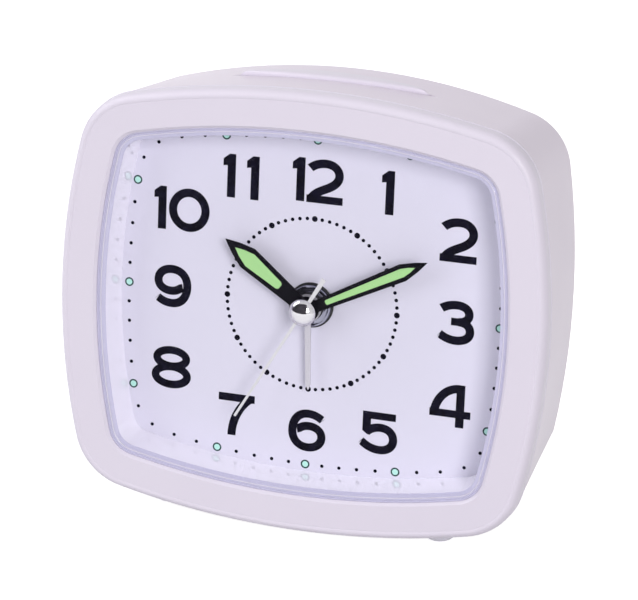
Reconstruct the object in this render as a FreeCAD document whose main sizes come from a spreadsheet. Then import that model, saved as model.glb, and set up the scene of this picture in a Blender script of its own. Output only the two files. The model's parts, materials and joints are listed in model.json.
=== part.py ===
import FreeCAD, Part
import math
import os
import Sketcher
from FreeCAD import Placement, Rotation, Vector

# Bedside quartz alarm clock.
# The clock's own frame has its origin on the front of the dial at the hands' centre: X to the
# viewer's right, Y into the clock, Z up along the dial. The whole clock leans back on its feet,
# so every piece is placed in the standing frame by one common Placement.

doc = FreeCAD.newDocument("alarm_clock")
sheet = doc.addObject("Spreadsheet::Sheet", "Sizes")
cells_used = []


def term(value):
    """The text of a number or a Length inside an expression."""
    return value.text if isinstance(value, Length) else "%.9g" % value


class Length(float):
    """A number that remembers the spreadsheet expression it comes from."""

    def __new__(cls, value, text):
        made = float.__new__(cls, value)
        made.text = text
        return made

    def __add__(self, other):
        return Length(float(self) + float(other), "(%s + %s)" % (self.text, term(other)))

    def __radd__(self, other):
        return Length(float(other) + float(self), "(%s + %s)" % (term(other), self.text))

    def __sub__(self, other):
        return Length(float(self) - float(other), "(%s - %s)" % (self.text, term(other)))

    def __rsub__(self, other):
        return Length(float(other) - float(self), "(%s - %s)" % (term(other), self.text))

    def __mul__(self, other):
        return Length(float(self) * float(other), "(%s * %s)" % (self.text, term(other)))

    __rmul__ = __mul__

    def __truediv__(self, other):
        return Length(float(self) / float(other), "(%s / %s)" % (self.text, term(other)))

    def __neg__(self):
        return Length(-float(self), "(-%s)" % self.text)


def size(name, value):
    """Writes one driving size to the sheet and returns it as a Length."""
    cells_used.append(name)
    line = len(cells_used)
    sheet.set("A%d" % line, name)
    sheet.set("B%d" % line, "%.9g" % value)
    sheet.setAlias("B%d" % line, name)
    return Length(value, "Sizes." + name)


# ---- driving sizes, in millimetres and degrees ----

# the case, front
face_width = size("face_width", 108.0)
face_height = size("face_height", 97.0)
face_arc = size("face_arc", 182.0)
face_side_arc = size("face_side_arc", 148.0)
face_corner = size("face_corner", 14.0)
face_to_dial = size("face_to_dial", 10.4)
edge_round = size("edge_round", 2.2)
bezel_depth = size("bezel_depth", 4.4)
bezel_width = size("bezel_width", 8.3)
bezel_skirt = size("bezel_skirt", 3.5)
skirt_wall = size("skirt_wall", 1.6)
opening_corner = size("opening_corner", 6.5)
opening_round = size("opening_round", 0.6)
wall = size("wall", 2.0)

# the case, rear
case_depth = size("case_depth", 36.5)
side_taper = size("side_taper", 2.25)
top_taper = size("top_taper", 1.7)
base_taper = size("base_taper", 4.5)
rear_width = face_width - side_taper * 2
rear_top = face_height / 2 - top_taper
rear_base = face_height / 2 - base_taper
rear_arc = size("rear_arc", 142.0)
rear_base_arc = size("rear_base_arc", 260.0)
rear_side_arc = size("rear_side_arc", 185.0)
rear_corner = size("rear_corner", 13.0)
skirt_corner = size("skirt_corner", 7.0)
bevel_start = size("bevel_start", 30.0)
bevel_lean = size("bevel_lean", 24.0)
cover_thickness = size("cover_thickness", 2.4)
cover_recess = size("cover_recess", 0.3)
seam = size("seam", 0.25)

# how it stands
lean = size("lean", 7.5)
floor_sink = size("floor_sink", 0.5)
hub_height = face_height / 2 - floor_sink
foot_radius = size("foot_radius", 4.2)
foot_thickness = size("foot_thickness", 2.2)
foot_round = size("foot_round", 1.2)
foot_inset = size("foot_inset", 23.0)
foot_spread = face_width / 2 - foot_inset
front_foot_back = size("front_foot_back", -6.0)
rear_foot_back = size("rear_foot_back", 14.5)
pad_half = size("pad_half", 2.6)
pad_height = size("pad_height", 2.3)

# crystal, light ring and dial
crystal_thickness = size("crystal_thickness", 1.2)
crystal_recess = size("crystal_recess", 0.3)
crystal_bevel = size("crystal_bevel", 0.45)
crystal_gap = size("crystal_gap", 0.15)
ring_front_wall = size("ring_front_wall", 0.9)
ring_rear_wall = size("ring_rear_wall", 2.2)
ring_flange = size("ring_flange", 1.6)
dial_thickness = size("dial_thickness", 1.0)

# hands: each lies its height in front of the dial, and its angle is clockwise from twelve
hand_thickness = size("hand_thickness", 0.35)
alarm_hand_height = size("alarm_hand_height", 2.45)
alarm_hand_length = size("alarm_hand_length", 18.4)
alarm_hand_width = size("alarm_hand_width", 1.1)
alarm_hand_hub = size("alarm_hand_hub", 3.0)
alarm_hand_angle = size("alarm_hand_angle", 177.6)
hour_hand_height = size("hour_hand_height", 3.6)
hour_hand_length = size("hour_hand_length", 23.0)
hour_hand_width = size("hour_hand_width", 5.3)
hour_hand_waist = size("hour_hand_waist", 3.06)
hour_hand_shoulder = size("hour_hand_shoulder", 16.7)
hour_hand_hub = size("hour_hand_hub", 2.8)
hour_hand_angle = size("hour_hand_angle", 305.9)
hour_lume_start = size("hour_lume_start", 7.35)
hour_lume_shoulder = size("hour_lume_shoulder", 16.0)
hour_lume_length = size("hour_lume_length", 20.3)
hour_lume_waist = size("hour_lume_waist", 2.0)
hour_lume_width = size("hour_lume_width", 3.5)
minute_hand_height = size("minute_hand_height", 4.9)
minute_hand_length = size("minute_hand_length", 30.0)
minute_hand_width = size("minute_hand_width", 3.8)
minute_hand_waist = size("minute_hand_waist", 2.36)
minute_hand_shoulder = size("minute_hand_shoulder", 24.0)
minute_hand_hub = size("minute_hand_hub", 2.6)
minute_hand_angle = size("minute_hand_angle", 62.35)
minute_lume_start = size("minute_lume_start", 5.2)
minute_lume_shoulder = size("minute_lume_shoulder", 23.9)
minute_lume_length = size("minute_lume_length", 27.1)
minute_lume_waist = size("minute_lume_waist", 1.16)
minute_lume_width = size("minute_lume_width", 1.96)
lume_depth = size("lume_depth", 0.2)
lume_gap = size("lume_gap", 0.04)
second_hand_height = size("second_hand_height", 6.5)
second_hand_length = size("second_hand_length", 28.9)
second_hand_tail = size("second_hand_tail", 9.2)
second_hand_width = size("second_hand_width", 0.65)
second_hand_hub = size("second_hand_hub", 2.2)
second_hand_angle = size("second_hand_angle", 209.8)
cap_radius = size("cap_radius", 3.0)
cap_height = size("cap_height", 1.5)

# pipes and arbors round the hands' common axis
running_gap = size("running_gap", 0.08)
end_play = size("end_play", 0.15)
second_shaft = size("second_shaft", 0.5)
minute_pipe = size("minute_pipe", 1.05)
hour_pipe = size("hour_pipe", 1.6)
alarm_pipe = size("alarm_pipe", 2.15)
bushing_radius = size("bushing_radius", 3.1)
bushing_reach = size("bushing_reach", 2.1)
nut_radius = size("nut_radius", 4.6)
nut_height = size("nut_height", 1.1)
washer_radius = size("washer_radius", 5.0)
washer_thickness = size("washer_thickness", 0.4)
arbor = size("arbor", 0.4)
knob_arbor = size("knob_arbor", 1.0)

# movement housing
movement_half = size("movement_half", 24.0)
movement_top = size("movement_top", 24.0)
movement_bottom = size("movement_bottom", 21.5)
movement_split = size("movement_split", 9.0)
movement_back = size("movement_back", 17.0)
movement_wall = size("movement_wall", 1.2)
bridge_front = size("bridge_front", 7.0)
bridge_thickness = size("bridge_thickness", 0.8)
bridge_half = size("bridge_half", 19.0)
post_half = size("post_half", 1.4)
post_spread = size("post_spread", 17.0)
post_rise = size("post_rise", 16.0)

# wheels: how far each lies behind the dial, and its tooth module
wheel_thickness = size("wheel_thickness", 0.6)
alarm_wheel_back = size("alarm_wheel_back", 2.7)
hour_wheel_back = size("hour_wheel_back", 3.9)
minute_wheel_back = size("minute_wheel_back", 5.3)
centre_wheel_back = size("centre_wheel_back", 8.2)
third_wheel_back = size("third_wheel_back", 9.6)
second_wheel_back = size("second_wheel_back", 11.0)
fifth_wheel_back = size("fifth_wheel_back", 12.4)
alarm_module = size("alarm_module", 0.5)
motion_module = size("motion_module", 0.36)
centre_module = size("centre_module", 0.353)
second_module = size("second_module", 0.495)
rotor_module = size("rotor_module", 0.28)
knob_spread = size("knob_spread", 12.0)

# stepping motor and movement circuit
magnet_radius = size("magnet_radius", 2.6)
magnet_back = size("magnet_back", 9.5)
magnet_height = size("magnet_height", 1.4)
stator_back = size("stator_back", 10.0)
stator_thickness = size("stator_thickness", 0.8)
stator_half = size("stator_half", 12.0)
coil_drop = size("coil_drop", 17.0)
coil_half = size("coil_half", 8.5)
coil_radius = size("coil_radius", 2.4)
core_half = size("core_half", 1.1)
board_thickness = size("board_thickness", 1.0)
board_back = size("board_back", 13.5)
board_half = size("board_half", 14.5)

# battery and its bay in the rear cover
cell_radius = size("cell_radius", 7.0)
cell_length = size("cell_length", 49.2)
cell_nub = size("cell_nub", 1.3)
cell_nub_radius = size("cell_nub_radius", 2.7)
bay_play = size("bay_play", 0.3)
bay_end_room = size("bay_end_room", 3.0)
bay_depth_room = size("bay_depth_room", 1.4)
bay_wall = size("bay_wall", 1.0)
bay_top_gap = size("bay_top_gap", 0.8)
bay_half_height = cell_radius + bay_play
bay_half_length = cell_length / 2 + bay_end_room
bay_depth = cell_radius * 2 + bay_depth_room
cell_drop = movement_bottom + bay_top_gap + bay_wall + bay_half_height
door_thickness = size("door_thickness", 1.6)
door_gap = size("door_gap", 0.25)
hinge_pin = size("hinge_pin", 0.5)
hinge_pin_length = size("hinge_pin_length", 0.7)
contact_thickness = size("contact_thickness", 0.4)

# posts of the rear cover and of the shell
boss_inset = size("boss_inset", 9.6)
boss_rise = size("boss_rise", 24.0)
boss_half = size("boss_half", 2.8)
boss_start = size("boss_start", 12.0)
rib_half = size("rib_half", 1.0)
dial_post_half = size("dial_post_half", 1.8)
dial_post_inset = size("dial_post_inset", 9.7)
dial_post_rise = size("dial_post_rise", 33.0)
dial_post_drop = size("dial_post_drop", 20.0)

# knobs, alarm switch and buzzer
knob_radius = size("knob_radius", 7.5)
knob_height = size("knob_height", 5.0)
knob_gap = size("knob_gap", 0.4)
knob_seat = size("knob_seat", 3.2)
groove_depth = size("groove_depth", 0.7)
slide_drop = size("slide_drop", 13.0)
slide_travel = size("slide_travel", 2.0)
slide_half = size("slide_half", 1.6)
slide_height = size("slide_height", 1.5)
slide_proud = size("slide_proud", 1.2)
buzzer_radius = size("buzzer_radius", 11.5)
buzzer_height = size("buzzer_height", 4.4)
buzzer_rise = size("buzzer_rise", 30.0)
slot_half = size("slot_half", 7.0)
slot_pitch = size("slot_pitch", 3.0)

# light bar, its switch, board and lamp
bar_half_length = size("bar_half_length", 22.0)
bar_half_width = size("bar_half_width", 2.8)
bar_back = size("bar_back", 10.2)
bar_proud = size("bar_proud", 0.9)
bar_gap = size("bar_gap", 0.3)
bar_end_gap = size("bar_end_gap", 1.2)
bar_reach = size("bar_reach", 4.64)
bar_flange = size("bar_flange", 1.2)
bar_travel = size("bar_travel", 0.8)
light_board_drop = size("light_board_drop", 8.14)
light_board_half = size("light_board_half", 14.0)
switch_height = size("switch_height", 2.4)
switch_half = size("switch_half", 3.0)
plunger_radius = size("plunger_radius", 1.7)
lamp_radius = size("lamp_radius", 1.1)
lamp_drop = size("lamp_drop", 4.54)
doc.recompute()

face_front = -face_to_dial
seam_back = face_front + bezel_depth
case_rear = case_depth - face_to_dial
cover_back = case_rear - cover_recess
cover_front = cover_back - cover_thickness
bar_share = (bar_back - seam_back) / (case_rear - seam_back)
top_at_bar = face_height / 2 - top_taper * float(bar_share)
bar_foot = top_at_bar - bar_reach
light_board_top = top_at_bar - light_board_drop
lamp_rise = top_at_bar - lamp_drop
screw_spread = face_width / 2 - boss_inset


# ---- shared ways of making pieces ----

made = []


def plane_of(body, role):
    return [f for f in body.Origin.OriginFeatures if f.Role == role][0]


def new_body(label):
    body = doc.addObject("PartDesign::Body", label)
    body.Label = label
    made.append((body, label, Vector(0, 0, 0)))
    return body


def put_at(body, x, y, z):
    """Moves a body's own frame to a place in the clock's frame."""
    for number, (item, label, place) in enumerate(made):
        if item is body:
            made[number] = (item, label, Vector(x, y, z))


def new_sketch(body, name, role, offset):
    """A sketch on an origin plane: XZ is a plane of constant Y, with its normal to the viewer."""
    sketch = body.newObject("Sketcher::SketchObject", name)
    sketch.AttachmentSupport = [(plane_of(body, role), "")]
    sketch.MapMode = "FlatFace"
    away = -offset if role == "XZ_Plane" else offset
    sketch.AttachmentOffset = Placement(Vector(0, 0, float(away)), Rotation())
    if isinstance(away, Length):
        sketch.setExpression("AttachmentOffset.Base.z", away.text)
    return sketch


def bind(thing, prop, value):
    setattr(thing, prop, float(value))
    if isinstance(value, Length):
        thing.setExpression(prop, value.text)


def pin_point(sketch, geometry, end, x, y):
    """Holds one point of the sketch at (x, y), each bound to its own expression."""
    for kind, axis, value in (("DistanceX", -2, x), ("DistanceY", -1, y)):
        if abs(value) < 1e-9:
            sketch.addConstraint(Sketcher.Constraint("PointOnObject", geometry, end, axis))
            continue
        number = sketch.addConstraint(
            Sketcher.Constraint(kind, -1, 1, geometry, end, float(value)))
        if isinstance(value, Length):
            sketch.setExpression("Constraints[%d]" % number, value.text)


def polygon(sketch, points):
    """A closed outline of straight lines through points of two Lengths or numbers each."""
    count = len(points)
    first = sketch.GeometryCount
    for number in range(count):
        a, b = points[number], points[(number + 1) % count]
        sketch.addGeometry(Part.LineSegment(Vector(a[0], a[1], 0), Vector(b[0], b[1], 0)))
    for number in range(count):
        sketch.addConstraint(Sketcher.Constraint(
            "Coincident", first + number, 2, first + (number + 1) % count, 1))
    for number in range(count):
        pin_point(sketch, first + number, 1, *points[number])


def circle(sketch, x, y, radius):
    number = sketch.addGeometry(Part.Circle(Vector(x, y, 0), Vector(0, 0, 1), float(radius)))
    held = sketch.addConstraint(Sketcher.Constraint("Radius", number, float(radius)))
    if isinstance(radius, Length):
        sketch.setExpression("Constraints[%d]" % held, radius.text)
    pin_point(sketch, number, 3, x, y)


def rectangle(sketch, left, right, low, high):
    polygon(sketch, [(left, low), (right, low), (right, high), (left, high)])


def pad(body, sketch, length, backwards=False):
    """Adds the sketch's area, towards the plane's normal or backwards from it."""
    feature = body.newObject("PartDesign::Pad", sketch.Name + "_pad")
    feature.Profile = sketch
    bind(feature, "Length", length)
    feature.Reversed = backwards
    return feature


def pocket(body, sketch, length, backwards=False):
    """Cuts the sketch's area, away from the plane's normal or backwards along it."""
    feature = body.newObject("PartDesign::Pocket", sketch.Name + "_cut")
    feature.Profile = sketch
    bind(feature, "Length", length)
    feature.Reversed = backwards
    return feature


def between(body, name, y_from, y_to, draw):
    """Pads what draw() sketches, from one depth in the clock to a deeper one."""
    sketch = new_sketch(body, name, "XZ_Plane", y_to)
    draw(sketch)
    return pad(body, sketch, y_to - y_from)


def cut_between(body, name, y_from, y_to, draw):
    """Cuts what draw() sketches, from one depth in the clock to a deeper one."""
    sketch = new_sketch(body, name, "XZ_Plane", y_from)
    draw(sketch)
    return pocket(body, sketch, y_to - y_from)


def turned(body, name, points):
    """Turns a profile of (radius, depth) points about the body's Y axis."""
    sketch = new_sketch(body, name, "XY_Plane", 0)
    polygon(sketch, points)
    feature = body.newObject("PartDesign::Revolution", name + "_turn")
    feature.Profile = sketch
    feature.ReferenceAxis = (sketch, ["V_Axis"])
    feature.Angle = 360.0
    return feature


def tube(body, name, inner, outer, y_from, y_to):
    return turned(body, name, [(inner, y_from), (outer, y_from), (outer, y_to), (inner, y_to)])


# ---- the outlines of the case: shallow arcs joined by rounded corners ----

def touching_centre(c1, r1, c2, r2, r):
    """Centre of a rounding of radius r inside two arcs, on their right-hand side."""
    a, b = r1 - r, r2 - r
    across = c2 - c1
    gap = across.Length
    along = (a * a - b * b + gap * gap) / (2 * gap)
    unit = across / gap
    side = Vector(-unit.y, unit.x, 0) * math.sqrt(a * a - along * along)
    foot = c1 + unit * along
    return max((foot + side, foot - side), key=lambda p: p.x)


def on_arc(centre, radius, towards):
    way = towards - centre
    return centre + way * (radius / way.Length)


def line_meets_arc(start, way, centre, radius):
    """Distance along a line, from start, to the nearer crossing of an arc."""
    back = start - centre
    half = back.dot(way)
    rest = back.dot(back) - radius * radius
    root = math.sqrt(half * half - rest)
    return min((-half - root, -half + root), key=abs)


def right_half(half_width, top, base, arc, base_arc, side_arc, corner, base_corner,
               inset, share=None, bevel=None):
    """Segments (centre, radius, start, end) of the right half, top to bottom; a line has no
    centre. A bevel is (height, lean): a straight slope that replaces the lower side. A share
    divides the lower corner in two, so that it lofts onto a bevelled one."""
    half_width, top, base = half_width - inset, top - inset, base - inset
    arc, base_arc, side_arc = arc - inset, base_arc - inset, side_arc - inset
    corner, base_corner = corner - inset, base_corner - inset
    over = Vector(0, top - arc, 0)
    beside = Vector(half_width - side_arc, 0, 0)
    under = Vector(0, base_arc - base, 0)
    upper = touching_centre(over, arc, beside, side_arc, corner)
    a, b = on_arc(over, arc, upper), on_arc(beside, side_arc, upper)
    made_of = [(over, arc, Vector(0, top, 0), a), (upper, corner, a, b)]
    if bevel is None:
        lower = touching_centre(beside, side_arc, under, base_arc, base_corner)
        c, d = on_arc(beside, side_arc, lower), on_arc(under, base_arc, lower)
        made_of.append((beside, side_arc, b, c))
        if share is None:
            made_of.append((lower, base_corner, c, d))
        else:
            middle = on_arc(lower, base_corner, c + (d - c) * share)
            made_of += [(lower, base_corner, c, middle), (lower, base_corner, middle, d)]
    else:
        height, tilt = bevel[0], math.radians(bevel[1])
        down = Vector(-math.sin(tilt), -math.cos(tilt), 0)
        out = Vector(math.cos(tilt), -math.sin(tilt), 0)
        full = side_arc + inset
        start = Vector(beside.x + math.sqrt(full * full - height * height), -height, 0)
        start = start - out * inset
        crease = start + down * line_meets_arc(start, down, beside, side_arc)
        inner = start - out * base_corner
        rel = inner - under
        half = rel.dot(down)
        rest = rel.dot(rel) - (base_arc - base_corner) ** 2
        lower = inner + down * (-half + math.sqrt(half * half - rest))
        c, d = lower + out * base_corner, on_arc(under, base_arc, lower)
        made_of += [(beside, side_arc, b, crease), (None, 0, crease, c),
                    (lower, base_corner, c, d)]
    made_of.append((under, base_arc, d, Vector(0, -base, 0)))
    return made_of


def face_half(inset, share=None):
    half = face_height / 2
    return right_half(float(face_width) / 2, float(half), float(half), float(face_arc),
                      float(face_arc), float(face_side_arc), float(face_corner),
                      float(face_corner), float(inset), share)


def rear_half(inset):
    return right_half(float(rear_width) / 2, float(rear_top), float(rear_base), float(rear_arc),
                      float(rear_base_arc), float(rear_side_arc), float(rear_corner),
                      float(skirt_corner), float(inset), None,
                      (float(bevel_start), float(bevel_lean)))


def draw_outline(sketch, half):
    """Draws a right half and its mirror image as one closed outline in the sketch."""
    path = [(seg, 1) for seg in half] + [(seg, -1) for seg in reversed(half)]
    numbers = []
    for (centre, radius, start, end), side in path:
        if side < 0:
            start, end = end, start
        a, b = Vector(side * start.x, start.y, 0), Vector(side * end.x, end.y, 0)
        if centre is None:
            edge = Part.LineSegment(a, b)
        else:
            hub = Vector(side * centre.x, centre.y, 0)
            edge = Part.Arc(a, on_arc(hub, radius, (a + b) / 2), b)
        numbers.append(sketch.addGeometry(edge))
    ends = []
    for number, ((centre, radius, start, end), side) in zip(numbers, path):
        if side < 0:
            start, end = end, start
        a = Vector(side * start.x, start.y, 0)
        begins = (sketch.getPoint(number, 1) - a).Length < 1e-6
        ends.append((1, 2) if begins else (2, 1))
    count = len(numbers)
    for here in range(count):
        there = (here + 1) % count
        sketch.addConstraint(Sketcher.Constraint(
            "Coincident", numbers[here], ends[here][1], numbers[there], ends[there][0]))


def face_outline(inset, share=None):
    return lambda sketch: draw_outline(sketch, face_half(inset, share))


def rear_outline(inset):
    return lambda sketch: draw_outline(sketch, rear_half(inset))


def loft(body, name, y_first, first, y_second, second, cutting=False):
    """A ruled skin between two outlines at two depths."""
    one = new_sketch(body, name + "_front", "XZ_Plane", y_first)
    first(one)
    two = new_sketch(body, name + "_rear", "XZ_Plane", y_second)
    second(two)
    kind = "PartDesign::SubtractiveLoft" if cutting else "PartDesign::AdditiveLoft"
    feature = body.newObject(kind, name)
    feature.Profile = one
    feature.Sections = [two]
    feature.Ruled = True
    return feature


def opening_half(inset):
    """The opening of the bezel, an even border inside the face."""
    border = float(bezel_width)
    half = float(face_height) / 2 - border
    return right_half(float(face_width) / 2 - border, half, half, float(face_arc) - border,
                      float(face_arc) - border, float(face_side_arc) - border,
                      float(opening_corner), float(opening_corner), float(inset))


def opening_outline(inset):
    return lambda sketch: draw_outline(sketch, opening_half(inset))


def draw_path(sketch, steps):
    """A closed outline of (start, via, end) steps: an arc through via, or a line where None."""
    first = sketch.GeometryCount
    for start, via, end in steps:
        a, b = Vector(start[0], start[1], 0), Vector(end[0], end[1], 0)
        if via is None:
            sketch.addGeometry(Part.LineSegment(a, b))
        else:
            sketch.addGeometry(Part.Arc(a, Vector(via[0], via[1], 0), b))


def round_edges(body, name, radius, chosen, bevel=False):
    """Rounds, or bevels, the edges of the body so far that chosen(edge) picks."""
    doc.recompute()
    feature = body.Tip
    names = ["Edge%d" % (number + 1) for number, edge in enumerate(feature.Shape.Edges)
             if chosen(edge)]
    made_edges = body.newObject("PartDesign::" + ("Chamfer" if bevel else "Fillet"), name)
    made_edges.Base = (feature, names)
    bind(made_edges, "Size" if bevel else "Radius", radius)
    return made_edges


def lies_at(edge, depth):
    return all(abs(v.Point.y - float(depth)) < 1e-4 for v in edge.Vertexes)


def repeat_round(body, name, feature, times):
    """Repeats a feature all round the body's own Y axis."""
    pattern = body.newObject("PartDesign::PolarPattern", name)
    pattern.Originals = [feature]
    pattern.Axis = (feature.Profile[0], ["N_Axis"])
    pattern.Angle = 360.0
    pattern.Occurrences = times
    body.Tip = pattern
    return pattern


def add_teeth(body, name, teeth, module, back, thickness, phase):
    """Adds teeth round a disc; phase is the angle of one tooth, anticlockwise from +X."""
    half_step = 180.0 / teeth
    corners = []
    for reach, part_of_step in ((-1.4, -0.56), (0.85, -0.18), (0.85, 0.18), (-1.4, 0.56)):
        angle = math.radians(phase - part_of_step * half_step)
        radius = module * (teeth / 2 + reach)
        corners.append((radius * math.cos(angle), radius * math.sin(angle)))
    tooth = between(body, name, back, back + thickness, lambda s: polygon(s, corners))
    return repeat_round(body, name + "_all", tooth, teeth)


def disc_between(body, name, y_from, y_to, radius, bore=None):
    def draw(sketch):
        circle(sketch, 0, 0, radius)
        if bore is not None:
            circle(sketch, 0, 0, bore)
    return between(body, name, y_from, y_to, draw)


def wheel(body, name, teeth, module, back, thickness, phase, bore=None):
    disc_between(body, name + "_disc", back, back + thickness, module * (teeth / 2 - 1.1), bore)
    add_teeth(body, name + "_tooth", teeth, module, back, thickness, phase)


def meshing(teeth, phase, other_teeth, towards):
    """Phase of a wheel that meshes with one of known phase, lying towards the given angle."""
    pitch, other = 360.0 / teeth, 360.0 / other_teeth
    ahead = ((phase - towards) / pitch) % 1.0
    return towards + 180.0 - ahead * other + other / 2


# ---- case shell: tapers to the rear, lower rear corners cut off at a slant ----

case_shell = new_body("case_shell")
loft(case_shell, "shell", seam_back, face_outline(0, 0.35), case_rear, rear_outline(0))
loft(case_shell, "hollow", seam_back, face_outline(wall, 0.35), case_rear,
     rear_outline(wall), True)

# bosses for the cover's screws, each joined to the side wall by a rib
def boss_and_rib(across, up):
    low = boss_rise * up
    inner, outer = screw_spread - boss_half, screw_spread + boss_half
    wall_reach = screw_spread + boss_inset - side_taper - wall - 0.2
    points = [(inner, low - boss_half), (outer, low - boss_half), (outer, low - rib_half),
              (wall_reach, low - rib_half), (wall_reach, low + rib_half),
              (outer, low + rib_half), (outer, low + boss_half), (inner, low + boss_half)]
    return lambda s: polygon(s, [(x * across, z) for x, z in points])


for across in (-1, 1):
    for up in (-1, 1):
        name = "boss_%s%s" % ("left" if across < 0 else "right", "_top" if up > 0 else "_low")
        between(case_shell, name, boss_start, cover_front, boss_and_rib(across, up))

# bosses for the light board under the top wall
for name, depth, half in (("front", 3.6, 1.2), ("back", 16.8, 1.4)):
    sketch = new_sketch(case_shell, "light_boss_" + name, "XY_Plane", light_board_top)
    for across in (-1, 1):
        rectangle(sketch, 11.0 * across - half, 11.0 * across + half, depth - half,
                  depth + half)
    pad(case_shell, sketch, light_board_drop - wall * (0.57 if name == "front" else 1.07))

# seats for the four feet, upright when the clock stands
tilt = Rotation(Vector(1, 0, 0), float(lean))
for across in (-1, 1):
    for row, depth in (("front", front_foot_back), ("rear", rear_foot_back)):
        seat = case_shell.newObject("PartDesign::AdditiveBox", "seat_%s_%s" % (
            row, "left" if across < 0 else "right"))
        bind(seat, "Length", pad_half * 2)
        bind(seat, "Width", pad_half * 2)
        bind(seat, "Height", pad_height)
        seat.Placement = Placement(tilt.multVec(Vector(
            across * foot_spread - pad_half, float(depth) - pad_half,
            foot_thickness - hub_height)), tilt)

# slot for the light bar through the top wall
def bar_plan(half_length, half_width):
    tip, side, mid = float(half_length), float(half_width), float(bar_back)
    return [((-tip, mid), (0, mid - side), (tip, mid)), ((tip, mid), (0, mid + side), (-tip, mid))]


sketch = new_sketch(case_shell, "bar_slot", "XY_Plane", top_at_bar + 2.0)
draw_path(sketch, bar_plan(bar_half_length + bar_end_gap, bar_half_width + bar_gap))
pocket(case_shell, sketch, wall + 4.0)

# ---- bezel: the front frame, with a skirt that enters the shell ----

bezel = new_body("bezel")
between(bezel, "frame", face_front, seam_back, face_outline(0))
round_edges(bezel, "front_rounding", edge_round,
            lambda edge: lies_at(edge, face_front))
skirt_inset = wall + 0.55


def skirt_ring(sketch):
    draw_outline(sketch, face_half(skirt_inset))
    draw_outline(sketch, face_half(skirt_inset + skirt_wall))


between(bezel, "skirt", seam_back, seam_back + bezel_skirt, skirt_ring)
cut_between(bezel, "opening", face_front, seam_back, opening_outline(0))
opening_reach = face_width / 2 - bezel_width + 1.0
opening_rise = face_height / 2 - bezel_width + 1.0
round_edges(bezel, "opening_bevel", opening_round,
            lambda edge: lies_at(edge, face_front)
            and abs(edge.CenterOfMass.x) < opening_reach
            and abs(edge.CenterOfMass.z) < opening_rise, True)

# ---- crystal, light ring and dial ----

crystal_front = face_front + crystal_recess
crystal_back = crystal_front + crystal_thickness
crystal = new_body("crystal")
between(crystal, "pane", crystal_front, crystal_back, opening_outline(crystal_gap))
round_edges(crystal, "pane_bevel", crystal_bevel,
            lambda edge: lies_at(edge, crystal_front), True)

light_ring = new_body("light_ring")
between(light_ring, "collar", crystal_back, seam_back, opening_outline(crystal_gap))
between(light_ring, "flange", seam_back, 0, opening_outline(-ring_flange))
loft(light_ring, "inside", crystal_back, opening_outline(crystal_gap + ring_front_wall), 0,
     opening_outline(ring_rear_wall), True)

dial = new_body("dial")


def dial_sheet(sketch):
    draw_outline(sketch, opening_half(-ring_flange))
    circle(sketch, 0, 0, bushing_radius + 0.2)


between(dial, "sheet", 0, dial_thickness, dial_sheet)

# ---- rear cover: plate, battery bay, posts that hold the dial, openings ----

rear_cover = new_body("rear_cover")
cover_inset = wall + seam
cover_sketch = new_sketch(rear_cover, "plate", "XZ_Plane", cover_back)
rear_outline(cover_inset)(cover_sketch)
pad(rear_cover, cover_sketch, cover_thickness)
bay_mouth = cover_back - door_thickness
bay_floor = bay_mouth - bay_depth


def bay_box(border):
    return lambda s: rectangle(
        s, -bay_half_length - border, bay_half_length + border,
        -cell_drop - bay_half_height - border, bay_half_height - cell_drop + border)


between(rear_cover, "bay", bay_floor - bay_wall, cover_front, bay_box(bay_wall))
cut_between(rear_cover, "bay_inside", bay_floor, bay_mouth, bay_box(0))
cut_between(rear_cover, "door_recess", bay_mouth, cover_back, bay_box(bay_wall))

dial_post_spread = face_width / 2 - bezel_width - dial_post_inset
for across in (-1, 1):
    for name, rise in (("top", dial_post_rise), ("low", -dial_post_drop)):
        middle = dial_post_spread * across
        between(rear_cover, "post_%s_%s" % (name, "left" if across < 0 else "right"),
                dial_thickness, cover_front, lambda s: rectangle(
                    s, middle - dial_post_half, middle + dial_post_half,
                    rise - dial_post_half, rise + dial_post_half))


def knob_holes(sketch):
    for across in (-1, 1):
        circle(sketch, knob_spread * across, 0, knob_arbor + 0.3)


cut_between(rear_cover, "knob_holes", cover_front, cover_back, knob_holes)


def sound_slots(sketch):
    for number in (-2, -1, 0, 1, 2):
        middle = buzzer_rise + slot_pitch * number
        rectangle(sketch, -slot_half, slot_half, middle - 0.75, middle + 0.75)


cut_between(rear_cover, "sound_slots", cover_front, cover_back, sound_slots)
slide_slot = slide_half + slide_travel + 0.2
cut_between(rear_cover, "slide_slot", cover_front, cover_back, lambda s: rectangle(
    s, -slide_slot, slide_slot, -slide_drop - slide_height - 0.2,
    slide_height - slide_drop + 0.2))

# sockets of the door's two hinge pins
hinge_back = cover_back - door_thickness / 2
hinge_drop = cell_drop + bay_half_height + bay_wall - door_gap - door_thickness / 2
sketch = new_sketch(rear_cover, "hinge_sockets", "YZ_Plane",
                    -bay_half_length - bay_wall - hinge_pin_length)
circle(sketch, hinge_back, -hinge_drop, hinge_pin + 0.05)
feature = pocket(rear_cover, sketch, (bay_half_length + bay_wall + hinge_pin_length) * 2, True)

# ---- battery door, hinged along its lower edge ----

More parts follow.
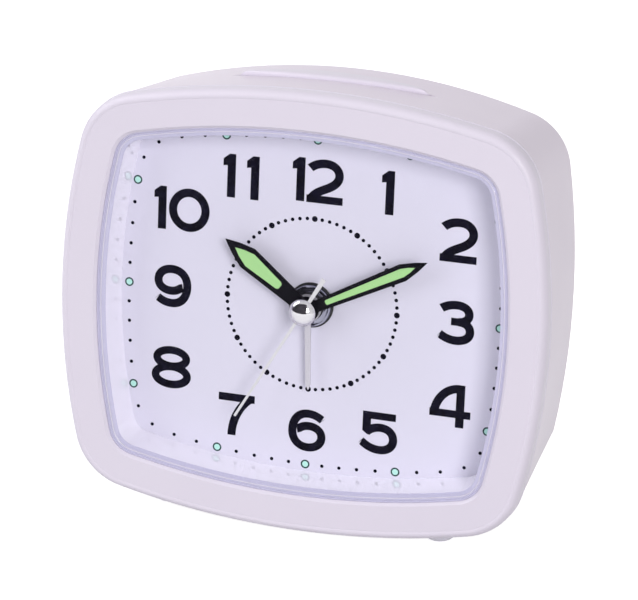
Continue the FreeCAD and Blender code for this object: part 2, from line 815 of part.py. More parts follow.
battery_door = new_body("battery_door")
put_at(battery_door, 0, hinge_back, -hinge_drop)
door_half = bay_half_length + bay_wall - door_gap
door_top = (bay_half_height + bay_wall - door_gap) * 2 - door_thickness / 2
between(battery_door, "leaf", -door_thickness / 2, door_thickness / 2, lambda s: rectangle(
    s, -door_half, door_half, 0, door_top))
sketch = new_sketch(battery_door, "barrel", "YZ_Plane", -door_half)
circle(sketch, 0, 0, door_thickness / 2)
pad(battery_door, sketch, door_half * 2)
sketch = new_sketch(battery_door, "pins", "YZ_Plane", -door_half - hinge_pin_length)
circle(sketch, 0, 0, hinge_pin)
pad(battery_door, sketch, (door_half + hinge_pin_length) * 2)
for number in (0, 1, 2):
    rise = door_top - 4.0 + number * 1.2
    cut_between(battery_door, "grip_%d" % number, door_thickness / 2 - 0.4, door_thickness / 2,
                lambda s: rectangle(s, -5.0, 5.0, rise, rise + 0.6))

# ---- battery and its two contacts ----

cell_right = bay_half_length - contact_thickness - cell_nub
battery_cell = new_body("battery_cell")
cell_back = bay_floor + bay_depth / 2
put_at(battery_cell, 0, cell_back, -cell_drop)
sketch = new_sketch(battery_cell, "can", "YZ_Plane", cell_right - cell_length)
circle(sketch, 0, 0, cell_radius)
pad(battery_cell, sketch, cell_length)
sketch = new_sketch(battery_cell, "nub", "YZ_Plane", cell_right)
circle(sketch, 0, 0, cell_nub_radius)
pad(battery_cell, sketch, cell_nub)

positive_contact = new_body("positive_contact")
put_at(positive_contact, 0, cell_back, -cell_drop)
sketch = new_sketch(positive_contact, "plate", "YZ_Plane", bay_half_length - contact_thickness)
rectangle(sketch, -5.0, 5.0, -4.0, 4.0)
pad(positive_contact, sketch, contact_thickness)

negative_contact = new_body("negative_contact")
put_at(negative_contact, 0, cell_back, -cell_drop)
wall_side = -bay_half_length
cell_side = cell_right - cell_length
sketch = new_sketch(negative_contact, "leaf", "XY_Plane", -3.0)
polygon(sketch, [(wall_side, 5.0), (wall_side, -5.3), (wall_side + contact_thickness, -5.3),
                 (cell_side, -0.3), (cell_side, 0.3), (wall_side + 1.6, 4.0),
                 (wall_side + 1.3, 3.7), (cell_side - 0.6, 0),
                 (wall_side + contact_thickness, -4.3), (wall_side + contact_thickness, 5.0)])
pad(negative_contact, sketch, 6.0)

# ---- movement housing: front shell with the threaded bushing, rear shell, bridge ----

minute_place = (6.0, -3.98)
third_place = (0.0, centre_module * 25.5)
third_module = centre_module * (25.5 / 27)
fifth_leg = second_module * (18 * math.sqrt(0.5))
fifth_place = (-fifth_leg, -fifth_leg)
rotor_leg = rotor_module * (21 * math.sqrt(0.5))
rotor_place = (rotor_leg - fifth_leg, -fifth_leg - rotor_leg)


def housing_box(inset):
    return lambda s: rectangle(s, inset - movement_half, movement_half - inset,
                               inset - movement_bottom, movement_top - inset)


def squares_at(places, half):
    def draw(sketch):
        for x, z in places:
            rectangle(sketch, x - half, x + half, z - half, z + half)
    return draw


posts = squares_at([(post_spread * across, post_rise * up)
                    for across in (-1, 1) for up in (-1, 1)], post_half)


def holes_at(places, radius):
    def draw(sketch):
        for x, z in places:
            circle(sketch, x, z, radius)
    return draw


plate_back = dial_thickness + movement_wall
pit_front = dial_thickness + 0.5
knob_places = ((-knob_spread, 0), (knob_spread, 0))
movement_front = new_body("movement_front")
between(movement_front, "box", dial_thickness, movement_split, housing_box(0))
cut_between(movement_front, "inside", plate_back, movement_split, housing_box(movement_wall))
between(movement_front, "posts", plate_back, bridge_front, posts)
disc_between(movement_front, "bushing", -bushing_reach, dial_thickness, bushing_radius)
cut_between(movement_front, "bushing_bore", -bushing_reach, plate_back,
            lambda s: circle(s, 0, 0, alarm_pipe + running_gap))
cut_between(movement_front, "arbor_pit", pit_front, plate_back,
            holes_at([minute_place], arbor + running_gap))
cut_between(movement_front, "knob_pits", pit_front, plate_back,
            holes_at(knob_places, knob_arbor + running_gap))

rear_plate_front = movement_back - movement_wall
bridge_back = bridge_front + bridge_thickness
board_front = board_back
board_rear = board_back + board_thickness
stator_rear = stator_back + stator_thickness
movement_rear = new_body("movement_rear")
between(movement_rear, "box", movement_split, movement_back, housing_box(0))
cut_between(movement_rear, "inside", movement_split, rear_plate_front,
            housing_box(movement_wall))
between(movement_rear, "posts", bridge_back, rear_plate_front, posts)
stator_posts = [(-10.6, -12.9), (10.6, -12.9)]
between(movement_rear, "stator_posts", stator_rear, rear_plate_front,
        squares_at(stator_posts, 1.0))
board_posts = [(-12.8, 20.0), (12.8, 20.0)]
between(movement_rear, "board_posts", board_rear, rear_plate_front,
        squares_at(board_posts, 1.2))
cut_between(movement_rear, "arbor_pits", rear_plate_front, movement_back - 0.5,
            holes_at([third_place, fifth_place, rotor_place], arbor + running_gap))
cut_between(movement_rear, "second_pit", rear_plate_front, movement_back - 0.5,
            holes_at([(0, 0)], second_shaft + running_gap))
cut_between(movement_rear, "knob_ways", rear_plate_front, movement_back,
            holes_at(knob_places, knob_arbor + running_gap))

bridge = new_body("bridge")
between(bridge, "plate", bridge_front, bridge_back, lambda s: rectangle(
    s, -bridge_half, bridge_half, -bridge_half, bridge_half))
cut_between(bridge, "pipe_way", bridge_front, bridge_back,
            holes_at([(0, 0)], minute_pipe + running_gap))
cut_between(bridge, "arbor_ways", bridge_front, bridge_back,
            holes_at([minute_place, third_place, fifth_place, rotor_place],
                     arbor + running_gap))
cut_between(bridge, "knob_ways", bridge_front, bridge_back,
            holes_at(knob_places, knob_arbor + running_gap))

nut_back = -washer_thickness
washer = new_body("washer")
tube(washer, "ring", bushing_radius + 0.05, washer_radius, nut_back, 0)
nut = new_body("nut")
nut_front = nut_back - nut_height
turned(nut, "steps", [
    (bushing_radius + 0.05, nut_front), (nut_radius - 0.9, nut_front),
    (nut_radius - 0.6, nut_front + 0.3), (nut_radius - 0.35, nut_front + 0.35),
    (nut_radius, nut_front + 0.7), (nut_radius, nut_back), (bushing_radius + 0.05, nut_back)])

# ---- wheels, with the phases that make them mesh at rest ----

half_up = 90.0
to_minute = math.degrees(math.atan2(minute_place[1], minute_place[0]))
cannon_phase = 90.0
minute_phase = meshing(10, cannon_phase, 30, to_minute)
setting_phase = meshing(30, minute_phase, 10, -to_minute)
leaf_phase = 90.0
hour_phase = meshing(8, leaf_phase, 32, to_minute + 180.0)
centre_phase = 90.0
third_leaf_phase = meshing(45, centre_phase, 6, 90.0)
third_phase = 90.0
second_leaf_phase = meshing(48, third_phase, 6, 270.0)
second_phase = 90.0
fifth_leaf_phase = meshing(30, second_phase, 6, 225.0)
fifth_phase = 90.0
rotor_leaf_phase = meshing(36, fifth_phase, 6, 315.0)
alarm_phase = 90.0
alarm_setting_phase = meshing(24, alarm_phase, 24, 180.0)

# ---- second hand: blade and tail, chrome cap, steel shaft, wheel ----

second_front = -second_hand_height - hand_thickness
second_back = -second_hand_height
second_hand = new_body("second_hand")
disc_between(second_hand, "hub", second_front, second_back, second_hand_hub, second_shaft)
half = second_hand_width / 2
between(second_hand, "blade", second_front, second_back, lambda s: polygon(s, [
    (-half, 1.0), (-half * 0.8, second_hand_length), (half * 0.8, second_hand_length),
    (half, 1.0)]))
between(second_hand, "tail", second_front, second_back, lambda s: polygon(s, [
    (-half, -1.0), (half, -1.0), (half * 1.6, -second_hand_tail),
    (-half * 1.6, -second_hand_tail)]))

second_cap = new_body("second_cap")
cap_front = second_front - cap_height
turned(second_cap, "dome", [
    (0, second_front), (cap_radius, second_front), (cap_radius, second_front - 0.55),
    (cap_radius - 0.4, second_front - 1.05), (cap_radius - 1.4, second_front - 1.4),
    (0, cap_front)])
cut_between(second_cap, "socket", second_front - 0.4, second_front,
            holes_at([(0, 0)], second_shaft))

second_pin = new_body("second_pin")
disc_between(second_pin, "pin", second_front - 0.4, movement_back - 0.65, second_shaft)

second_wheel = new_body("second_wheel")
disc_between(second_wheel, "pinion_disc", third_wheel_back - 0.1,
             third_wheel_back + wheel_thickness + 0.1,
             third_module * 1.8, second_shaft)
add_teeth(second_wheel, "pinion_tooth", 6, third_module, third_wheel_back - 0.1,
          wheel_thickness + 0.2, second_leaf_phase)
disc_between(second_wheel, "hub", third_wheel_back + wheel_thickness, second_wheel_back,
             1.2, second_shaft)
wheel(second_wheel, "wheel", 30, second_module, second_wheel_back, wheel_thickness,
      second_phase, second_shaft)

# ---- minute hand on its pipe, with the cannon pinion ----


def blade(shoulder, length, waist, width):
    """Half-width grows to the shoulders, then a slightly bowed point."""
    bow = (shoulder + length) / 2 + 0.3
    return [(-waist / 2, 0), (-width / 2, shoulder), (-width * 0.27, bow), (0, length),
            (width * 0.27, bow), (width / 2, shoulder), (waist / 2, 0)]


def lume(start, shoulder, length, waist, width, gap):
    bow = (shoulder + length) / 2 + 0.25
    return [(-waist * 0.28, start + gap), (-waist / 2 + gap, start + waist * 0.25),
            (-width / 2 + gap, shoulder), (-width * 0.27, bow - gap), (0, length - gap * 2),
            (width * 0.27, bow - gap), (width / 2 - gap, shoulder),
            (waist / 2 - gap, start + waist * 0.25), (waist * 0.28, start + gap)]


minute_back = -minute_hand_height
minute_front = minute_back - hand_thickness
minute_hand = new_body("minute_hand")
between(minute_hand, "blade", minute_front, minute_back, lambda s: polygon(s, blade(
    minute_hand_shoulder, minute_hand_length, minute_hand_waist, minute_hand_width)))
disc_between(minute_hand, "hub", minute_front, minute_back, minute_hand_hub)
cut_between(minute_hand, "bore", minute_front, minute_back, holes_at([(0, 0)], minute_pipe))
cut_between(minute_hand, "inlay", minute_front, minute_front + lume_depth,
            lambda s: polygon(s, lume(minute_lume_start, minute_lume_shoulder,
                                      minute_lume_length, minute_lume_waist,
                                      minute_lume_width, 0)))
minute_lume = new_body("minute_lume")
between(minute_lume, "inlay", minute_front, minute_front + lume_depth,
        lambda s: polygon(s, lume(minute_lume_start, minute_lume_shoulder,
                                  minute_lume_length, minute_lume_waist,
                                  minute_lume_width, lume_gap)))
minute_pipe_piece = new_body("minute_pipe")
disc_between(minute_pipe_piece, "pipe", minute_front - 0.3, movement_split, minute_pipe,
             second_shaft + running_gap)
disc_between(minute_pipe_piece, "cannon_disc", minute_wheel_back - 0.1,
             minute_wheel_back + 1.0, motion_module * 3.9,
             second_shaft + running_gap)
add_teeth(minute_pipe_piece, "cannon_tooth", 10, motion_module, minute_wheel_back - 0.1,
          1.1, cannon_phase)

# ---- hour hand on its pipe, with the hour wheel ----

hour_back = -hour_hand_height
hour_front = hour_back - hand_thickness
hour_hand = new_body("hour_hand")
between(hour_hand, "blade", hour_front, hour_back, lambda s: polygon(s, blade(
    hour_hand_shoulder, hour_hand_length, hour_hand_waist, hour_hand_width)))
disc_between(hour_hand, "hub", hour_front, hour_back, hour_hand_hub)
cut_between(hour_hand, "bore", hour_front, hour_back, holes_at([(0, 0)], hour_pipe))
cut_between(hour_hand, "inlay", hour_front, hour_front + lume_depth,
            lambda s: polygon(s, lume(hour_lume_start, hour_lume_shoulder, hour_lume_length,
                                      hour_lume_waist, hour_lume_width, 0)))
hour_lume = new_body("hour_lume")
between(hour_lume, "inlay", hour_front, hour_front + lume_depth,
        lambda s: polygon(s, lume(hour_lume_start, hour_lume_shoulder, hour_lume_length,
                                  hour_lume_waist, hour_lume_width, lume_gap)))
hour_wheel = new_body("hour_wheel")
disc_between(hour_wheel, "pipe", hour_front - 0.3, hour_wheel_back + wheel_thickness,
             hour_pipe, minute_pipe + running_gap)
wheel(hour_wheel, "wheel", 32, motion_module, hour_wheel_back, wheel_thickness, hour_phase,
      minute_pipe + running_gap)

# ---- alarm hand on its pipe, with the alarm wheel ----

alarm_back = -alarm_hand_height
alarm_front = alarm_back - hand_thickness
alarm_hand = new_body("alarm_hand")
half = alarm_hand_width / 2
between(alarm_hand, "blade", alarm_front, alarm_back, lambda s: polygon(s, [
    (-half * 1.3, 0), (-half, alarm_hand_length - 1.2), (0, alarm_hand_length),
    (half, alarm_hand_length - 1.2), (half * 1.3, 0)]))
disc_between(alarm_hand, "hub", alarm_front, alarm_back, alarm_hand_hub)
cut_between(alarm_hand, "bore", alarm_front, alarm_back, holes_at([(0, 0)], alarm_pipe))
alarm_wheel = new_body("alarm_wheel")
disc_between(alarm_wheel, "pipe", alarm_front - 0.3, alarm_wheel_back + wheel_thickness,
             alarm_pipe, hour_pipe + running_gap)
wheel(alarm_wheel, "wheel", 24, alarm_module, alarm_wheel_back, wheel_thickness, alarm_phase,
      hour_pipe + running_gap)

# ---- the intermediate wheels, each moulded in one with its leaves and arbor ----

leaf_back = plate_back + 0.25


def arbor_on(body, x, z, y_from, y_to):
    put_at(body, x, 0, z)
    disc_between(body, "arbor", y_from, y_to, arbor)


minute_wheel = new_body("minute_wheel")
arbor_on(minute_wheel, minute_place[0], minute_place[1], pit_front + end_play,
         bridge_back - end_play)
wheel(minute_wheel, "leaf", 8, motion_module, hour_wheel_back - 0.1, 1.4, leaf_phase)
wheel(minute_wheel, "wheel", 30, motion_module, minute_wheel_back, wheel_thickness,
      minute_phase)

centre_wheel = new_body("centre_wheel")
wheel(centre_wheel, "wheel", 45, centre_module, centre_wheel_back, wheel_thickness,
      centre_phase, minute_pipe + 0.02)

third_wheel = new_body("third_wheel")
arbor_on(third_wheel, third_place[0], third_place[1], bridge_front + end_play,
         movement_back - 0.5 - end_play)
wheel(third_wheel, "leaf", 6, centre_module, centre_wheel_back - 0.1, 1.4,
      third_leaf_phase)
wheel(third_wheel, "wheel", 48, third_module, third_wheel_back, wheel_thickness, third_phase)

fifth_wheel = new_body("fifth_wheel")
arbor_on(fifth_wheel, fifth_place[0], fifth_place[1], bridge_front + end_play,
         movement_back - 0.5 - end_play)
wheel(fifth_wheel, "leaf", 6, second_module, second_wheel_back - 0.1, 1.4, fifth_leaf_phase)
wheel(fifth_wheel, "wheel", 36, rotor_module, fifth_wheel_back, wheel_thickness, fifth_phase)

rotor = new_body("rotor")
arbor_on(rotor, rotor_place[0], rotor_place[1], bridge_front + end_play,
         movement_back - 0.5 - end_play)
wheel(rotor, "leaf", 6, rotor_module, fifth_wheel_back - 0.1, 0.8, rotor_leaf_phase)

rotor_magnet = new_body("rotor_magnet")
put_at(rotor_magnet, rotor_place[0], 0, rotor_place[1])
disc_between(rotor_magnet, "ring", magnet_back, magnet_back + magnet_height, magnet_radius,
             arbor)

# ---- stepping motor: stator with its core, and the coil ----

stator = new_body("stator")
stator_low = -coil_drop - core_half


stator_sketch = new_sketch(stator, "plate", "XZ_Plane", stator_rear)
rectangle(stator_sketch, -stator_half, stator_half, stator_low,
          -fifth_leg - arbor - 0.3)
pad(stator, stator_sketch, stator_thickness)
cut_between(stator, "window", stator_back, stator_rear, lambda s: rectangle(
    s, -coil_half - 0.8, coil_half + 0.8, core_half - coil_drop, coil_radius + 0.1 - coil_drop))
cut_between(stator, "rotor_way", stator_back, stator_rear,
            holes_at([rotor_place], magnet_radius + 0.35))

coil = new_body("coil")
put_at(coil, 0, stator_back + stator_thickness / 2, -coil_drop)
sketch = new_sketch(coil, "winding", "YZ_Plane", -coil_half)
circle(sketch, 0, 0, coil_radius)
pad(coil, sketch, coil_half * 2)
sketch = new_sketch(coil, "core_way", "YZ_Plane", -coil_half)
rectangle(sketch, -stator_thickness / 2 - 0.05, stator_thickness / 2 + 0.05,
          -core_half - 0.05, core_half + 0.05)
pocket(coil, sketch, coil_half * 2, True)

# ---- movement circuit board with its chip and quartz can ----

circuit_board = new_body("circuit_board")
between(circuit_board, "board", board_front, board_rear, lambda s: rectangle(
    s, -board_half, board_half, 12.0, 22.0))
chip = new_body("chip")
put_at(chip, -6.0, 0, 17.0)
between(chip, "body", board_front - 1.0, board_front, lambda s: rectangle(
    s, -2.6, 2.6, -2.6, 2.6))
quartz_can = new_body("quartz_can")
put_at(quartz_can, 6.0, board_front - 1.1, 18.0)
sketch = new_sketch(quartz_can, "can", "YZ_Plane", -3.0)
circle(sketch, 0, 0, 1.1)
pad(quartz_can, sketch, 6.0)

# ---- knobs at the rear, each on a shaft that carries a wheel ----

knob_front = cover_back + knob_gap
knob_rear = knob_front + knob_height
for name, across, teeth, module, back, phase in (
        ("alarm", -1, 24, alarm_module, alarm_wheel_back, alarm_setting_phase),
        ("time", 1, 10, motion_module, minute_wheel_back, setting_phase)):
    shaft = new_body(name + "_setting_shaft")
    put_at(shaft, knob_spread * across, 0, 0)
    disc_between(shaft, "rod", pit_front + end_play, knob_front + knob_seat, knob_arbor)
    disc_between(shaft, "collar", movement_back + 0.15, movement_back + 1.2, 1.8)
    wheel(shaft, "wheel", teeth, module, back, wheel_thickness, phase)
    knob = new_body(name + "_knob")
    put_at(knob, knob_spread * across, 0, 0)
    turned(knob, "body", [
        (0, knob_front), (knob_radius - 0.4, knob_front), (knob_radius, knob_front + 0.4),
        (knob_radius, knob_rear - 0.7), (knob_radius - 0.7, knob_rear), (0, knob_rear)])
    cut_between(knob, "bore", knob_front, knob_front + knob_seat,
                holes_at([(0, 0)], knob_arbor))
    groove = cut_between(knob, "groove", knob_front, knob_rear, lambda s: polygon(s, [
        (-groove_depth, knob_radius + 0.2), (0, knob_radius - groove_depth),
        (groove_depth, knob_radius + 0.2)]))
    repeat_round(knob, "grooves", groove, 12)

# ---- alarm switch: a slide in the rear cover over its inner body ----

switch_rear = movement_back + 4.0
alarm_switch = new_body("alarm_switch")
put_at(alarm_switch, 0, 0, -slide_drop)
between(alarm_switch, "body", movement_back, switch_rear, lambda s: rectangle(
    s, -7.5, 7.5, -3.2, 3.2))
cut_between(alarm_switch, "way", switch_rear - 2.0, switch_rear, lambda s: rectangle(
    s, -1.1 - slide_travel, slide_travel + 1.1, -1.1, 1.1))

slide_front = cover_front - 1.6
alarm_slide = new_body("alarm_slide")
put_at(alarm_slide, -slide_travel, 0, -slide_drop)
between(alarm_slide, "plate", slide_front, cover_front - 0.1, lambda s: rectangle(
    s, -6.0, 6.0, -2.8, 2.8))
between(alarm_slide, "tongue", switch_rear - 1.7, slide_front, lambda s: rectangle(
    s, -1.0, 1.0, -1.0, 1.0))
between(alarm_slide, "button", cover_front - 0.1, cover_back + slide_proud, lambda s: rectangle(
    s, -slide_half, slide_half, -slide_height, slide_height))

# ---- buzzer behind the sound slots ----

buzzer = new_body("buzzer")
put_at(buzzer, 0, 0, buzzer_rise)
disc_between(buzzer, "can", cover_front - buzzer_height, cover_front, buzzer_radius)

# ---- light bar in the top of the case, its switch, board and lamp ----

bar_top = top_at_bar + bar_proud
under_wall = top_at_bar - wall - 0.6
bar_arc = 161.0


def arc_band(sketch, half_length, low, high):
    """Band between two arcs that follow the top of the case."""
    drop = half_length * half_length / (2 * bar_arc)
    far = float(half_length)
    draw_path(sketch, [((-far, low - drop), None, (-far, high - drop)),
                       ((-far, high - drop), (0, high), (far, high - drop)),
                       ((far, high - drop), None, (far, low - drop)),
                       ((far, low - drop), (0, low), (-far, low - drop))])


light_bar = new_body("light_bar")
put_at(light_bar, 0, bar_back, 0)
sketch = new_sketch(light_bar, "boat", "XY_Plane", bar_foot)
tip, side = float(bar_half_length), float(bar_half_width)
draw_path(sketch, [((-tip, 0), (0, -side), (tip, 0)), ((tip, 0), (0, side), (-tip, 0))])
pad(light_bar, sketch, 6.5)
band = new_sketch(light_bar, "flange", "XZ_Plane", 4.2)
arc_band(band, float(bar_half_length) + 2.2, float(under_wall - bar_flange), float(under_wall))
pad(light_bar, band, 8.4)
crown = new_sketch(light_bar, "crown", "XZ_Plane", -5.0)
arc_band(crown, float(bar_half_length) + 4.0, float(bar_top), float(bar_top) + 6.0)
pocket(light_bar, crown, 10.0)

light_board = new_body("light_board")
sketch = new_sketch(light_board, "board", "XY_Plane", light_board_top - board_thickness)
rectangle(sketch, -light_board_half, light_board_half, 2.0, 18.4)
pad(light_board, sketch, board_thickness)

light_switch = new_body("light_switch")
put_at(light_switch, 0, bar_back, 0)
sketch = new_sketch(light_switch, "body", "XY_Plane", light_board_top)
rectangle(sketch, -switch_half, switch_half, -switch_half, switch_half)
pad(light_switch, sketch, switch_height)
sketch = new_sketch(light_switch, "way", "XY_Plane", light_board_top + switch_height)
circle(sketch, 0, 0, plunger_radius + running_gap)
pocket(light_switch, sketch, switch_height - 0.5)

switch_plunger = new_body("switch_plunger")
put_at(switch_plunger, 0, bar_back, 0)
plunger_low = light_board_top + 0.5 + bar_travel + 0.1
sketch = new_sketch(switch_plunger, "rod", "XY_Plane", plunger_low)
circle(sketch, 0, 0, plunger_radius)
pad(switch_plunger, sketch, bar_foot - 0.05 - plunger_low)

lamp = new_body("lamp")
put_at(lamp, 0, 0, lamp_rise)
turned(lamp, "bulb", [(0, -5.6), (lamp_radius * 0.7, -5.35), (lamp_radius, -4.7),
                      (lamp_radius, 1.4), (0, 1.4)])
for across in (-1, 1):
    sketch = new_sketch(lamp, "lead_%s" % ("left" if across < 0 else "right"), "YZ_Plane",
                        0.7 * across - 0.2)
    drop_to = light_board_top - lamp_rise
    polygon(sketch, [(1.2, 0.2), (3.2, 0.2), (3.2, drop_to), (2.8, drop_to), (2.8, -0.2),
                     (1.2, -0.2)])
    pad(lamp, sketch, 0.4)

# ---- four feet, upright in the standing frame ----

feet = []
for across in (-1, 1):
    for row, depth in (("front", front_foot_back), ("rear", rear_foot_back)):
        foot = new_body("foot_%s_%s" % (row, "left" if across < 0 else "right"))
        made.pop()
        sketch = new_sketch(foot, "disc", "XY_Plane", 0)
        circle(sketch, 0, 0, foot_radius)
        pad(foot, sketch, foot_thickness)
        round_edges(foot, "rounding", foot_round, lambda edge: all(
            abs(v.Point.z) < 1e-6 for v in edge.Vertexes), True)
        feet.append((foot, foot.Label, Vector(foot_spread * across, float(depth), 0)))

doc.recompute()

# ---- standing placement: lean the clock back on its feet, centred in the frame ----

hand_angles = {
    "second_hand": second_hand_angle, "minute_hand": minute_hand_angle,
    "minute_lume": minute_hand_angle, "hour_hand": hour_hand_angle,
    "hour_lume": hour_hand_angle, "alarm_hand": alarm_hand_angle}
leaning = Rotation(Vector(1, 0, 0), -float(lean))


def place_all(shift):
    standing = Placement(Vector(0, shift, float(hub_height)), leaning)
    for body, label, place in made:
        turn = Rotation(Vector(0, 1, 0), float(hand_angles.get(label, 0.0)))
        body.Placement = standing.multiply(Placement(place, turn))
    for body, label, place in feet:
        body.Placement = Placement(place + Vector(0, shift, 0), Rotation())


def extent():
    whole = FreeCAD.BoundBox()
    for body, label, place in made + feet:
        whole.add(body.Shape.optimalBoundingBox(False))
    return whole


place_all(0.0)
doc.recompute()
reach = extent()
place_all(-(reach.YMin + reach.YMax) / 2)
doc.recompute()

# ---- check and write every piece ----

os.makedirs("parts", exist_ok=True)
for old in os.listdir("parts"):
    if old.endswith(".step"):
        os.remove(os.path.join("parts", old))
for body, label, place in made + feet:
    shape = body.Shape
    faulty = [o.Name for o in body.Group if "Invalid" in o.State or "Error" in o.State]
    if faulty or shape.isNull() or not shape.isValid() or len(shape.Solids) != 1:
        raise RuntimeError("%s is not one sound solid: %s, %d solids" % (
            label, faulty, len(shape.Solids)))
    shape.exportStep("parts/%s.step" % label)
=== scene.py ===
import json
import math

import bmesh
import bpy
from mathutils import Matrix, Vector
from mathutils.geometry import convex_hull_2d


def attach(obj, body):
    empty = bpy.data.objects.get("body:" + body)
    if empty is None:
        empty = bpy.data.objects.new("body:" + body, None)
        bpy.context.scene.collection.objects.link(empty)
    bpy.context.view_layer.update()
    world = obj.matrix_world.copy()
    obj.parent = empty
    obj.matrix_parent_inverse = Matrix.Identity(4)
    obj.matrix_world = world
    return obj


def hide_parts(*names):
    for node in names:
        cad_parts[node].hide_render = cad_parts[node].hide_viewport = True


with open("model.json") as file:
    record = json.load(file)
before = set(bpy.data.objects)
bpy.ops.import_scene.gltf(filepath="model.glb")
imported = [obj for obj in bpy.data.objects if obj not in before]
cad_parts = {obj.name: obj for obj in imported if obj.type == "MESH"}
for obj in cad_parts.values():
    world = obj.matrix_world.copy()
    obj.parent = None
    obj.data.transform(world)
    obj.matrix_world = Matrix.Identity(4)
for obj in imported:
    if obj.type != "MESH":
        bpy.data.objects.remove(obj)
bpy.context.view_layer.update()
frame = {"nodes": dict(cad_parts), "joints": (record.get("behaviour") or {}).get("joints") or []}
nodes = frame["nodes"]
joints = {joint["name"]: joint for joint in frame["joints"]}


# ---- standing place and camera ----
# The clock leans back a little on its feet. Its own axes run right, back and up from the
# centre of the dial's face, where the hands turn, and its sizes are in millimetres. The
# camera stands at the front right, a little above, and looks through a long lens.
hub = Vector(joints["second_hand_turn"]["pos_m"])
backward = Vector(joints["second_hand_turn"]["axis"])
rightward = Vector((1.0, 0.0, 0.0))
upward = rightward.cross(backward)
clock = Matrix.Translation(hub) @ Matrix((rightward, backward, upward)).transposed().to_4x4() \
    @ Matrix.Scale(0.001, 4)

eye = clock @ Vector((177.3, -591.3, 187.1))
look_right = clock.to_3x3() @ Vector((0.9545, 0.2957, 0.0387))
look_down = clock.to_3x3() @ Vector((0.1208, -0.2648, -0.9567))
look_right.normalize()
look_down = (look_down - look_down.project(look_right)).normalized()
lens = bpy.data.cameras.new("camera")
lens.lens, lens.sensor_width, lens.sensor_fit = 169.3, 36.0, "HORIZONTAL"
lens.clip_start, lens.clip_end = 0.01, 20.0
camera = bpy.data.objects.new("camera", lens)
bpy.context.scene.collection.objects.link(camera)
camera.matrix_world = Matrix.Translation(eye) @ Matrix(
    (look_right, -look_down, -look_right.cross(look_down))).transposed().to_4x4()
bpy.context.scene.camera = camera
bpy.context.scene.view_settings.view_transform = "Standard"


# ---- table, backdrop and studio light ----
# A white sheet under the clock, a soft lamp at the front right, a weak one at the front
# left, one high at the left and one behind, and a dark card that only reflections show.
class Feed:
    """One socket of a material's nodes. Sums and products of feeds become Math nodes."""

    def __init__(self, tree, socket=None):
        self.tree, self.socket = tree, socket

    def add(self, kind, values=None, settings=None, out=0):
        node = self.tree.nodes.new(kind)
        for name, value in (settings or {}).items():
            setattr(node, name, value)
        for name, value in (values or {}).items():
            if isinstance(value, Feed):
                self.tree.links.new(value.socket, node.inputs[name])
            else:
                node.inputs[name].default_value = value
        return Feed(self.tree, node.outputs[out] if node.outputs else None)

    def maths(self, operation, first, second=0.0):
        return self.add("ShaderNodeMath", {0: first, 1: second}, {"operation": operation})

    def __add__(self, other):
        return self.maths("ADD", self, other)

    def __sub__(self, other):
        return self.maths("SUBTRACT", self, other)

    def __rsub__(self, other):
        return self.maths("SUBTRACT", other, self)

    def __mul__(self, other):
        return self.maths("MULTIPLY", self, other)

    __radd__ = __add__
    __rmul__ = __mul__

    def held(self, low, high):
        return self.maths("MINIMUM", self.maths("MAXIMUM", self, low), high)


def finish(name, dress):
    made = bpy.data.materials.new(name)
    made.use_nodes = True
    made.node_tree.nodes.clear()
    sheet = Feed(made.node_tree)
    sheet.add("ShaderNodeOutputMaterial", {"Surface": dress(sheet)})
    return made


def cloudy(sheet, size, detail=3.0, vector=None):
    """Noise from 0 to 1, with blotches of about size millimetres."""
    if vector is None:
        vector = sheet.add("ShaderNodeTexCoord", out="Object")
    return sheet.add("ShaderNodeTexNoise", {
        "Vector": vector, "Scale": 1000.0 / size, "Detail": detail, "Roughness": 0.55})


def blend(sheet, share, first, second):
    """A colour between two, each a feed or three numbers."""
    colours = [c if isinstance(c, Feed) else (*c, 1.0) for c in (first, second)]
    return sheet.add("ShaderNodeMix", {0: share, 6: colours[0], 7: colours[1]},
                     {"data_type": "RGBA"}, out=2)


def seen_direct(sheet):
    """1 for what is seen directly, in gloss or through clear parts, and 0 for light."""
    rays = [sheet.add("ShaderNodeLightPath", out=ray)
            for ray in ("Is Camera Ray", "Is Glossy Ray", "Is Transmission Ray")]
    return (rays[0] + rays[1] + rays[2]).held(0.0, 1.0)


sheet_glow = 0.84


def white_sheet(sheet):
    paper = cloudy(sheet, 3.0)
    cloth = sheet.add("ShaderNodeBsdfPrincipled", {
        "Base Color": blend(sheet, paper, (0.48, 0.48, 0.485), (0.51, 0.51, 0.51)),
        "Roughness": 0.9, "Specular IOR Level": 0.1})
    glow = sheet.add("ShaderNodeEmission", {
        "Color": (1, 1, 1, 1), "Strength": seen_direct(sheet) * sheet_glow})
    return sheet.add("ShaderNodeAddShader", {0: cloth, 1: glow})


def dark_card(sheet):
    mottle = cloudy(sheet, 60.0)
    return sheet.add("ShaderNodeBsdfDiffuse", {
        "Color": blend(sheet, mottle, (0.10, 0.09, 0.11), (0.16, 0.15, 0.17))})


def stand(name, corners, faces, finish_used):
    mesh = bpy.data.meshes.new(name)
    mesh.from_pydata(corners, [], faces)
    mesh.materials.append(finish_used)
    made = bpy.data.objects.new(name, mesh)
    bpy.context.scene.collection.objects.link(made)
    return made


stand("table_top", [(-4, -4, 0), (4, -4, 0), (4, 4, 0), (-4, 4, 0)], [(0, 1, 2, 3)],
      finish("white_sheet", white_sheet))
grey_card = stand("grey_card", [
    (-3.0, -1.5, 0.001), (0.7, -1.5, 0.001), (0.6, -0.75, 1.6), (-2.6, -0.75, 1.6),
    (-3.0, 1.5, 0.001), (-2.6, 1.5, 1.6)], [(0, 1, 2, 3), (0, 3, 5, 4)],
    finish("grey_card", dark_card))
grey_card.visible_camera = grey_card.visible_diffuse = grey_card.visible_shadow = False

